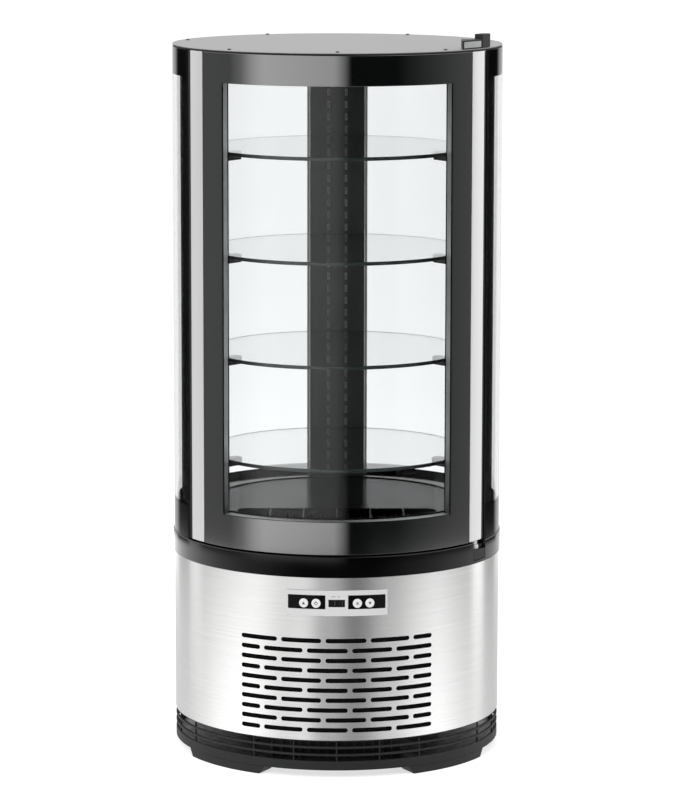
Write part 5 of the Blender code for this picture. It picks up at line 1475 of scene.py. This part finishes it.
INLET_BACK = 0.0715
INLET_MARGIN = 0.0080
INLET_CORNER = 0.0150
INLET_RIB = 0.0020
INLET_RIBS = 5


def round_arc(centre, radius, start, end, steps=8):
    """Points along an arc about a centre of its own, by angles from the +X axis."""
    turns = [math.radians(start + (end - start) * index / steps) for index in range(steps + 1)]
    return [centre + Vector((radius * math.cos(turn), radius * math.sin(turn), 0)) for turn in turns]


inlet_radius = FLOOR_RADIUS - INLET_MARGIN
corner_rise = INLET_BACK + INLET_CORNER
corner_run = math.sqrt((inlet_radius - INLET_CORNER) ** 2 - corner_rise**2)
lean = math.degrees(math.atan2(corner_run, corner_rise))
inlet = (
    round_arc(Vector((-corner_run, -corner_rise, 0)), INLET_CORNER, 90, 270 - lean)
    + arc(inlet_radius, -lean, lean)[1:-1]
    + round_arc(Vector((corner_run, -corner_rise, 0)), INLET_CORNER, lean - 90, 90)
)
deck = sheet([arc(FLOOR_RADIUS, -180, 180)[:-1], inlet], FLOOR_TOP - DECK, FLOOR_TOP)
rim = bent(FLOOR_RADIUS - DECK_RIM, FLOOR_RADIUS - RIM_SETBACK, FLOOR_LOW, FLOOR_TOP - DECK, FULL_TURN)
piece("cabin_deck", gathered([deck, rim]), "cabinet", [deck_black], ["cabin_floor"], bevel=0.0007)
inlet_end = corner_run + INLET_CORNER
ribs = []
for index in range(1, INLET_RIBS + 1):
    middle = inlet_end * (2 * index / (INLET_RIBS + 1) - 1)
    front = math.sqrt(inlet_radius**2 - middle**2)
    ribs.append(
        box(
            (middle - INLET_RIB / 2, -front, FLOOR_TOP - DECK),
            (middle + INLET_RIB / 2, -INLET_BACK, FLOOR_TOP - GAP),
        )
    )
piece("inlet_ribs", gathered(ribs), "cabinet", [moulding], bevel=0.0004)

# %% [markdown]
# ## Fixed glass, posts and the back
#
# The outer panes are one bend of glass from the front post to the panel at the back. A black print
# covers their lower and upper edge, and hides the tub and the canopy. The print is a change of
# finish on the pane itself, at rows of points that the sweep puts there.

# %% Side glazing
POST_START = 62.9
POST_NOSE = 1.0
POST_END = 72.0
PANEL_EDGE = 11.1
PRINT_LOW = 0.3490
PRINT_HIGH = 0.9300
INNER_RADIUS = reach("right_inner_pane")
INNER_PANE = 0.0035


def side_print(middle):
    """The print's finish below and above the clear part of a side pane."""
    return 0 if PRINT_LOW < middle.z < PRINT_HIGH else 1


def side_turns(start, side):
    """Bearings from a start to the rear panel, on one side."""
    return to_side(side, spread(start, 180 - PANEL_EDGE - TURN_GAP))


for side, name in SIDES:
    turns = side_turns(POST_START + POST_NOSE + TURN_GAP, side)
    outer = bent(GLASS_RADIUS - PANE, GLASS_RADIUS, PANE_LOW, PANE_HIGH, turns, [PRINT_LOW, PRINT_HIGH])
    paint(outer, side_print)
    piece(f"{name}_pane", outer, "cabinet", [pane_glass, gloss], [f"{name}_outer_pane"], bevel=0.0004)
    turns = side_turns(POST_END + TURN_GAP, side)
    inner = bent(INNER_RADIUS - INNER_PANE, INNER_RADIUS, PANE_LOW, PANE_HIGH, turns)
    piece(f"{name}_pane_inside", inner, "cabinet", [pane_glass], [f"{name}_inner_pane"], bevel=0.0003)

# %% Front posts
HIDDEN = GLASS_RADIUS - PANE - WIDE_GAP
POST_INSIDE = TUB_RADIUS + WIDE_GAP
POST_LIP = 0.0040
LIP_ANGLE = 10.9
LIP_END = POST_END - 0.4
POST_SETBACK = 0.0002


def post(side):
    """The upright between the door and the side glass, with its sealing lip."""
    upright = (
        arc(GLASS_RADIUS - POST_SETBACK, side * POST_START, side * (POST_START + POST_NOSE), 0.5)
        + arc(HIDDEN, side * (POST_START + POST_NOSE), side * POST_END)
        + arc(POST_INSIDE, side * POST_END, side * POST_START)
    )
    lip = arc(POST_INSIDE, side * (POST_START - LIP_ANGLE), side * LIP_END)
    lip += arc(TUB_RADIUS - POST_LIP, side * LIP_END, side * (POST_START - LIP_ANGLE))
    return gathered([prism(upright, PANE_LOW, PANE_HIGH), prism(lip, TUB_RIM + GAP, CEILING - GAP)])


for side, name in SIDES:
    piece(f"{name}_front_post", post(side), "cabinet", [deck_black], [f"{name}_post"], bevel=0.0006)

# %% [markdown]
# The panel at the back closes the cabin behind the air column. It is held by a row of screws at
# each edge. The screws here and on the top cover are the same Geometry Nodes tree: one head with a
# cross recess is set on every point of a small mesh, and turned to face along Z or out of the drum.

# %% Rear panel
panel_turns = spread(180 - PANEL_EDGE, 180 + PANEL_EDGE)
panel = bent(INNER_RADIUS - INNER_PANE, GLASS_RADIUS, PANE_LOW, PANE_HIGH, panel_turns)
piece("back_panel", panel, "cabinet", [moulding], ["rear_panel"], bevel=0.0008)

# %% Screws
SCREW_SIDES = 24
COVER_SCREWS = (0, 42, -42, 105, -105, 152.4, -152.4)
COVER_SCREW_INSET = 0.0115
PANEL_SCREW_END = 0.03
PANEL_SCREW_PITCH = 0.15
PANEL_SCREW_EDGE = 2.0
SCREW_RISE = 0.0011
COVER_SCREW_RADIUS = 0.0029
PANEL_SCREW_RADIUS = 0.0026
HEAD_TOP_SHARE = 0.72
CROSS_REACH_SHARE = 1.1
CROSS_WIDTH_SHARE = 0.22
COVER_LIFT_SHARE = 0.35
PANEL_SINK_SHARE = 0.6


def screw_tree():
    """A head with a cross recess on each point, facing up or out of the drum."""
    tree, size, output = new_tree("screw_heads", Radius=float, Rise=float, Outward=float, Material="material")
    half = calc(tree, "DIVIDE", size["Rise"], 2.0)
    top = calc(tree, "MULTIPLY", size["Radius"], HEAD_TOP_SHARE)
    cone = {"Vertices": SCREW_SIDES, "Radius Top": top, "Radius Bottom": size["Radius"]}
    head = add(tree, "GeometryNodeMeshCone", {**cone, "Depth": size["Rise"]})
    arm = calc(tree, "MULTIPLY", size["Radius"], CROSS_REACH_SHARE)
    width = calc(tree, "MULTIPLY", size["Radius"], CROSS_WIDTH_SHARE)
    bars = [
        add(tree, "GeometryNodeMeshCube", {"Size": vector(tree, *across, half)})
        for across in ((arm, width), (width, arm))
    ]
    lift = vector(tree, z=size["Rise"])
    raised = [add(tree, "GeometryNodeTransform", {"Geometry": one, "Translation": lift}) for one in bars]
    cut = add(tree, "GeometryNodeMeshBoolean", {"Mesh 1": head, "Mesh 2": raised}, operation="DIFFERENCE")
    place = add(tree, "GeometryNodeInputPosition")
    level = vector(tree, size["Outward"], size["Outward"])
    flat = add(tree, "ShaderNodeVectorMath", {0: place, 1: level}, operation="MULTIPLY")
    upward = vector(tree, z=calc(tree, "SUBTRACT", 1.0, size["Outward"]))
    facing = add(tree, "ShaderNodeVectorMath", {0: flat, 1: upward}, operation="ADD")
    turn = add(tree, "FunctionNodeAlignRotationToVector", {"Vector": facing}, axis="Z")
    setting = {"Points": size["Geometry"], "Instance": cut, "Rotation": turn}
    placed = add(tree, "GeometryNodeInstanceOnPoints", setting)
    return close_tree(tree, output, placed, size["Material"])


def points_mesh(spots):
    """A mesh of loose points."""
    mesh = bpy.data.meshes.new("spots")
    mesh.from_pydata([tuple(spot) for spot in spots], [], [])
    return mesh


screws = screw_tree()
cover_height = COVER_HIGH + SCREW_RISE * COVER_LIFT_SHARE
cover_spots = [at(COVER_RADIUS - COVER_SCREW_INSET, turn, cover_height) for turn in COVER_SCREWS]
cover_sizes = {"Radius": COVER_SCREW_RADIUS, "Rise": SCREW_RISE, "Outward": 0.0}
grown("cover_screws", screws, "cabinet", enamel_and_shade, cover_sizes, points_mesh(cover_spots))
panel_face = GLASS_RADIUS - SCREW_RISE * PANEL_SINK_SHARE
panel_spots = [
    at(panel_face, 180 + side * (PANEL_EDGE - PANEL_SCREW_EDGE), height)
    for side in (-1, 1)
    for height in spread(PANE_LOW + PANEL_SCREW_END, PANE_HIGH - PANEL_SCREW_END, PANEL_SCREW_PITCH)
]
panel_sizes = {"Radius": PANEL_SCREW_RADIUS, "Rise": SCREW_RISE, "Outward": 1.0}
grown("panel_screws", screws, "cabinet", zinc, panel_sizes, points_mesh(panel_spots))

# %% [markdown]
# The air column has two columns of short upright slots. Each has a bright pressed lip, and that lip
# is all one sees of it. The tree bends a round wire into a narrow frame and sets one on every
# point.

# %% Lips of the air slots
DUCT_INSET = 0.0165
AIR_SLOT_HEIGHT = 0.0085
AIR_SLOT_WIDTH = 0.0022
AIR_SLOT_SPACING = 0.0250
AIR_SLOT_PITCH = 0.0174
AIR_SLOT_MARGIN = 0.0200
LIP_WIRE = 0.0008
LIP_SINK_SHARE = 0.6
SHELVES = 4


def lip_tree():
    """A narrow wire frame in the XZ plane on each point."""
    tree, size, output = new_tree("slot_lips", Width=float, Height=float, Wire=float, Material="material")
    frame_size = {"Width": size["Width"], "Height": size["Height"]}
    outline = add(tree, "GeometryNodeCurvePrimitiveQuadrilateral", frame_size)
    section = add(tree, "GeometryNodeCurvePrimitiveCircle", {"Resolution": 6, "Radius": size["Wire"]})
    lip = add(tree, "GeometryNodeCurveToMesh", {"Curve": outline, "Profile Curve": section})
    upright = vector(tree, math.pi / 2)
    lip = add(tree, "GeometryNodeTransform", {"Geometry": lip, "Rotation": upright})
    placed = add(tree, "GeometryNodeInstanceOnPoints", {"Points": size["Geometry"], "Instance": lip})
    return close_tree(tree, output, placed, size["Material"])


rise = CEILING - TUB_RIM - 2 * AIR_SLOT_MARGIN
slot_rows = 1 + math.floor(rise / AIR_SLOT_PITCH)
shelf_undersides = [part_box(f"glass_shelf_{level}")[0].z for level in range(1, SHELVES + 1)]
duct_front = TUB_RADIUS - DUCT_INSET - LIP_WIRE * LIP_SINK_SHARE
air_slots = []
for row in range(slot_rows):
    height = (TUB_RIM + CEILING) / 2 + (row - (slot_rows - 1) / 2) * AIR_SLOT_PITCH
    if all(abs(height - under) > AIR_SLOT_HEIGHT for under in shelf_undersides):
        air_slots += [(side * AIR_SLOT_SPACING / 2, duct_front, height) for side in (-1, 1)]
lip_sizes = {"Width": AIR_SLOT_WIDTH, "Height": AIR_SLOT_HEIGHT, "Wire": LIP_WIRE}
grown("air_slot_lips", lip_tree(), "cabinet", zinc, lip_sizes, points_mesh(air_slots))

# %% [markdown]
# ## Canopy and top cover
#
# The canopy is the insulated lid of the cabin. It isn't seen from outside, apart from its thin
# flange. The cover on it is a folded sheet, so its rim is softly rounded.

# %% Canopy
FLANGE = 0.0015
hood_profile = [
    (0, CEILING),
    (TUB_RADIUS, CEILING),
    (TUB_RADIUS, FLANGE_HIGH - FLANGE),
    (CANOPY_RADIUS, FLANGE_HIGH - FLANGE),
    (CANOPY_RADIUS, FLANGE_HIGH),
    (0, FLANGE_HIGH),
]
piece("canopy", swept(hood_profile, FULL_TURN), "cabinet", [moulding], ["top_hood"], bevel=0.0004)
cover = swept(disc(COVER_RADIUS, COVER_LOW, COVER_HIGH), FULL_TURN)
piece("cover_sheet", cover, "cabinet", [powder], ["top_cover"], bevel=0.0005, segments=3)
lamp_low, lamp_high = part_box("cabin_lamp")
lamp = box(lamp_low, lamp_high)
piece("cabin_light", lamp, "cabinet", [diffuser], ["cabin_lamp"], bevel=0.0024, segments=4)

# %% [markdown]
# ## Shelves
#
# Four round plates of glass lie on two brackets each. Their rims are ground, and look nearly black
# from the side. The brackets are wedges with softened edges.

# %% Shelves and brackets
BRACKET_REACH = 0.0480
BRACKET_WIDTH = 0.0120
BRACKET_ROOT = 0.0110
BRACKET_TIP = 0.0070
BRACKET_BEARING = 64
RIM_SHARE = 0.99
bracket_outer = TUB_RADIUS - POST_LIP - WIDE_GAP


def bracket(bearing, high):
    """A wedge that reaches in under a shelf."""
    sections = ((bracket_outer, BRACKET_ROOT), (bracket_outer - BRACKET_REACH, BRACKET_TIP))
    half = BRACKET_WIDTH / 2
    rows = []
    for radius, drop in sections:
        place = outward(radius, bearing, high)
        corners = ((-half, 0), (half, 0), (half, -drop), (-half, -drop))
        rows.append([place @ Vector((x, y, 0)) for x, y in corners])
    return lofted(rows)


for level in range(1, SHELVES + 1):
    shelf_low, shelf_high = heights(f"glass_shelf_{level}")
    plate = swept(disc(SHELF_RADIUS, shelf_low, shelf_high), FULL_TURN)
    paint(plate, lambda middle: 1 if middle.xy.length > SHELF_RADIUS * RIM_SHARE else 0)
    worn = [shelf_glass, glass_edge]
    piece(f"shelf_{level}_glass", plate, f"shelf_{level}", worn, [f"glass_shelf_{level}"], bevel=0.0007)
    for side, name in SIDES:
        wedge = bracket(side * BRACKET_BEARING, shelf_low - GAP)
        node_name = f"{name}_shelf_bracket_{level}"
        piece(f"{name}_bracket_{level}", wedge, "cabinet", [moulding], [node_name], bevel=0.0009, segments=3)
print("shelves at", [round(under, 3) for under in shelf_undersides])

# %% [markdown]
# ## The door
#
# The door is a bent double pane between two metal profiles. The outer pane carries a wide black
# print like a picture frame. Between the panes runs a spacer of thin metal, which shows as a bright
# edge round the window.

# %% Door panes
PANE_EDGE = 52.5
WINDOW_EDGE = 42.8
WINDOW_LOW = 0.3489
WINDOW_HIGH = 0.9266
INNER_EDGE = 44.9
INNER_LOW = 0.3510
INNER_HIGH = 0.9250
DOOR_INSIDE = GLASS_RADIUS - DOOR_DEPTH
DOOR_INNER_PANE = 0.0030


def framed_pane(inner, outer, edge, low, high):
    """A pane of the door with a clear window in a black print."""
    turns = merged(spread(-PANE_EDGE, -edge), spread(-edge, edge), spread(edge, PANE_EDGE))
    shape = bent(inner, outer, DOOR_LOW, DOOR_HIGH, turns, [low, high])

    def part(middle):
        """0 in the clear window, 1 on the print."""
        return 0 if abs(bearing_of(middle)) < edge and low < middle.z < high else 1

    return paint(shape, part)


front_pane = framed_pane(GLASS_RADIUS - PANE, GLASS_RADIUS, WINDOW_EDGE, WINDOW_LOW, WINDOW_HIGH)
piece("door_front_pane", front_pane, "door", [pane_glass, printed], ["door_outer_pane"], bevel=0.0004)
back_pane = framed_pane(DOOR_INSIDE, DOOR_INSIDE + DOOR_INNER_PANE, INNER_EDGE, INNER_LOW, INNER_HIGH)
piece("door_back_pane", back_pane, "door", [pane_glass, gloss], ["door_inner_pane"], bevel=0.0003)

# %% Spacer between the panes
SPACER_OUT = GLASS_RADIUS - PANE - WIDE_GAP
SPACER_IN = DOOR_INSIDE + DOOR_INNER_PANE + WIDE_GAP
SPACER_FACES = (43.1, 44.7)
SPACER_BACK = 48.0
SPACER_SHOWN = 0.0006
SPACER_BAR = 0.0095


def spacer():
    """Four bars of thin metal round the window."""
    low = WINDOW_LOW + SPACER_SHOWN - SPACER_BAR
    high = WINDOW_HIGH - SPACER_SHOWN
    front, back = SPACER_FACES
    corners = ((SPACER_OUT, front), (SPACER_IN, back), (SPACER_IN, SPACER_BACK), (SPACER_OUT, SPACER_BACK))
    parts = [
        prism([at(radius, side * turn) for radius, turn in corners], low, high + SPACER_BAR)
        for side in (-1, 1)
    ]
    turns = spread(-front - TURN_GAP, front + TURN_GAP)
    parts += [bent(SPACER_IN, SPACER_OUT, level, level + SPACER_BAR, turns) for level in (low, high)]
    return gathered(parts)


piece("door_spacer", spacer(), "door", [spacer_metal], bevel=0.0004)

# %% [markdown]
# A real spacer has a row of pinholes on the side that faces the window, so that the drying agent in
# it can take up moisture. They are tiny, but they give that bright edge its dotted look. The tree
# makes a grid of dark dots in a plane, and the grid is then laid on each of the two faces.

# %% Pinholes in the spacer
HOLE_RADIUS = 0.00045
HOLE_PITCH = 0.0040
HOLE_ROW_GAP = 0.0050
HOLE_LIFT = 0.00006


def pinhole_tree():
    """Two columns of small dots in the XY plane."""
    sizes = {"Radius": float, "Pitch": float, "Gap": float, "Count": int}
    tree, size, output = new_tree("pinholes", **sizes, Material="material")
    dot = add(tree, "GeometryNodeMeshCircle", {"Vertices": 8, "Radius": size["Radius"]}, fill_type="NGON")
    columns = []
    for side in (-0.5, 0.5):
        start = vector(tree, calc(tree, "MULTIPLY", size["Gap"], side))
        line = {"Count": size["Count"], "Start Location": start, "Offset": vector(tree, y=size["Pitch"])}
        columns.append(add(tree, "GeometryNodeMeshLine", line))
    points = add(tree, "GeometryNodeJoinGeometry", {"Geometry": columns})
    dots = add(tree, "GeometryNodeInstanceOnPoints", {"Points": points, "Instance": dot})
    return close_tree(tree, output, dots, size["Material"])


def spacer_face(side):
    """A place on the spacer's face towards the window: X inwards, Y up, Z off the face."""
    outer, inner = at(SPACER_OUT, side * SPACER_FACES[0]), at(SPACER_IN, side * SPACER_FACES[1])
    across = (outer - inner).normalized() * side
    up = Vector((0, 0, 1))
    off = across.cross(up)
    turn = Matrix((across, up, off)).transposed().to_4x4()
    spot = (outer + inner) / 2 + off * HOLE_LIFT + up * (WINDOW_LOW + HOLE_PITCH)
    return Matrix.Translation(spot) @ turn


pinholes = pinhole_tree()
hole_count = int((WINDOW_HIGH - WINDOW_LOW) / HOLE_PITCH) - 1
hole_sizes = {"Radius": HOLE_RADIUS, "Pitch": HOLE_PITCH, "Gap": HOLE_ROW_GAP, "Count": hole_count}
for side, name in SIDES:
    grown(f"{name}_pinholes", pinholes, "door", rubber, hole_sizes, place=spacer_face(side))

# %% [markdown]
# The two profiles are satin aluminium with a black rubber edge. On the hinge side the edge is round
# about the pivot, so the door can turn without touching the post. A thin black bead seals each
# profile against the pane.

# %% Door profiles and seals
BEAD_END = 53.0
FACE_END = 60.7
DOOR_EDGE = 62.4
SKIN = 0.0005
NOSE_RADIUS = HINGE_RADIUS - DOOR_INSIDE


def nose_outline(start):
    """The hinge profile from a bearing to its round nose about the pivot."""
    pivot = PIVOT.copy()
    pivot.z = 0
    squares = GLASS_RADIUS**2 + HINGE_RADIUS**2 - NOSE_RADIUS**2
    out = math.degrees(math.acos(squares / (2 * GLASS_RADIUS * HINGE_RADIUS)))
    corner = at(GLASS_RADIUS, HINGE_BEARING + out) - pivot
    first = math.degrees(math.atan2(corner.y, corner.x))
    nose = round_arc(pivot, NOSE_RADIUS, first, HINGE_BEARING + 90, 16)
    front = arc(GLASS_RADIUS, start, FACE_END, 1.0)
    front += arc(GLASS_RADIUS, FACE_END, HINGE_BEARING + out, 1.0)[1:]
    return front + nose[1:-1] + arc(DOOR_INSIDE, HINGE_BEARING, start, 1.0)


def edge_finish(middle):
    """Metal on the face, rubber at the outer edge."""
    return 1 if abs(bearing_of(middle)) > FACE_END and middle.xy.length > DOOR_INSIDE + SKIN else 0


handle_turns = merged(spread(-DOOR_EDGE, -FACE_END, 1.0), spread(-FACE_END, -BEAD_END, 1.0))
handle = paint(bent(DOOR_INSIDE, GLASS_RADIUS, DOOR_LOW, DOOR_HIGH, handle_turns), edge_finish)
piece("handle_profile", handle, "door", [satin, rubber], ["door_handle_profile"], bevel=0.0007, segments=3)
hinged = paint(prism(nose_outline(BEAD_END), DOOR_LOW, DOOR_HIGH), edge_finish)
piece("hinge_profile", hinged, "door", [satin, rubber], ["door_hinge_profile"], bevel=0.0007, segments=3)
bead_turns = (PANE_EDGE + TURN_GAP / 2, BEAD_END - TURN_GAP / 2)
beads = [
    bent(DOOR_INSIDE, GLASS_RADIUS - WIDE_GAP, DOOR_LOW, DOOR_HIGH, to_side(side, bead_turns))
    for side in (-1, 1)
]
piece("pane_beads", gathered(beads), "door", [rubber])

# %% Rails and gasket
RAIL = 0.0220
GASKET_EDGE = 58.8
GASKET_SETBACK = 0.0060
GASKET_WIDTH = 5.5
GASKET_RAIL = 0.0250
rail_turns = spread(-PANE_EDGE + 2 * TURN_GAP, PANE_EDGE - 2 * TURN_GAP)
for name, low in (("bottom", DOOR_LOW), ("top", DOOR_HIGH - RAIL)):
    rail = bent(SPACER_IN, SPACER_OUT, low, low + RAIL, rail_turns)
    piece(f"{name}_rail", rail, "door", [moulding], [f"door_{name}_rail"], bevel=0.0004)
gasket_low, gasket_high = DOOR_LOW + GASKET_SETBACK, DOOR_HIGH - GASKET_SETBACK
gasket_out = DOOR_INSIDE - WIDE_GAP
inner_edge = GASKET_EDGE - GASKET_WIDTH
upright_turns = spread(inner_edge, GASKET_EDGE)
level_turns = spread(-inner_edge - TURN_GAP / 2, inner_edge + TURN_GAP / 2)
strips = [
    bent(POST_INSIDE, gasket_out, gasket_low, gasket_high, to_side(side, upright_turns))
    for side in (-1, 1)
]
strips += [
    bent(POST_INSIDE, gasket_out, low, low + GASKET_RAIL, level_turns)
    for low in (gasket_low, gasket_high - GASKET_RAIL)
]
piece("door_seal", gathered(strips), "door", [rubber], ["door_gasket"], bevel=0.0006)

# %% [markdown]
# ## At the back of the drum
#
# The mains lead enters through a gland. The photograph doesn't show the lead, so only the gland is
# here: a nut with a round bore, on the drum's outside.

# %% Cable gland
GLAND_BEARING = 147
GLAND_RADIUS = 0.0085
GLAND_BORE = 0.0038
GLAND_RISE = 0.0030
GLAND_NECK = 0.0062
GLAND_DEPTH = 0.0150
GLAND_SHOULDER_SHARE = 0.7
GLAND_CHAMFER = 0.0012
BORE_CHAMFER = 0.0008
BORE_DROP = 0.0006
gland_low, gland_high = heights("cable_gland")
gland_place = outward(SHELL_RADIUS + GAP, GLAND_BEARING, (gland_low + gland_high) / 2)
gland = [
    (GLAND_BORE, -GLAND_DEPTH),
    (GLAND_NECK, -GLAND_DEPTH),
    (GLAND_NECK, 0),
    (GLAND_RADIUS, 0),
    (GLAND_RADIUS, GLAND_RISE * GLAND_SHOULDER_SHARE),
    (GLAND_RADIUS - GLAND_CHAMFER, GLAND_RISE),
    (GLAND_BORE + BORE_CHAMFER, GLAND_RISE),
    (GLAND_BORE, GLAND_RISE - BORE_DROP),
]
piece("lead_gland", turned(gland, gland_place, 40), "cabinet", [moulding], ["cable_gland"], bevel=0.0003)

# %% [markdown]
# ## The rest of the frame
#
# What stays as the frame has it are the flat or hidden parts: the air column, and the machine in
# the drum. They only need their finish. The condenser's black and the evaporator's near-black fins are
# painted shade, for the dark inside of the drum and under the deck.

# %% Finishes of the parts that stay
KEPT = {
    "rear_duct": duct_black,
    "base_plate": zinc,
    "control_module": board,
    "compressor": enamel_and_shade,
    # Painted shade: the black enamel stands for the dark inside of the drum behind the slots.
    "condenser": enamel_and_shade,
    "fan_shroud": moulding,
    "fan_motor": zinc,
    "fan_blade": moulding,
    "drip_tray": tray_plastic,
    "filter_drier": copper,
    "liquid_line": copper,
    "suction_line": copper,
    "discharge_line": copper,
    # Painted shade: the near-black fins stand for the shade under the deck.
    "evaporator": fins_painted_shade,
    "evaporator_fan_frame": moulding,
    "evaporator_fan_blade": moulding,
}
for name, worn in KEPT.items():
    for holder in frame["nodes"][name].material_slots:
        holder.material = worn
print("kept as they are:", len(KEPT))
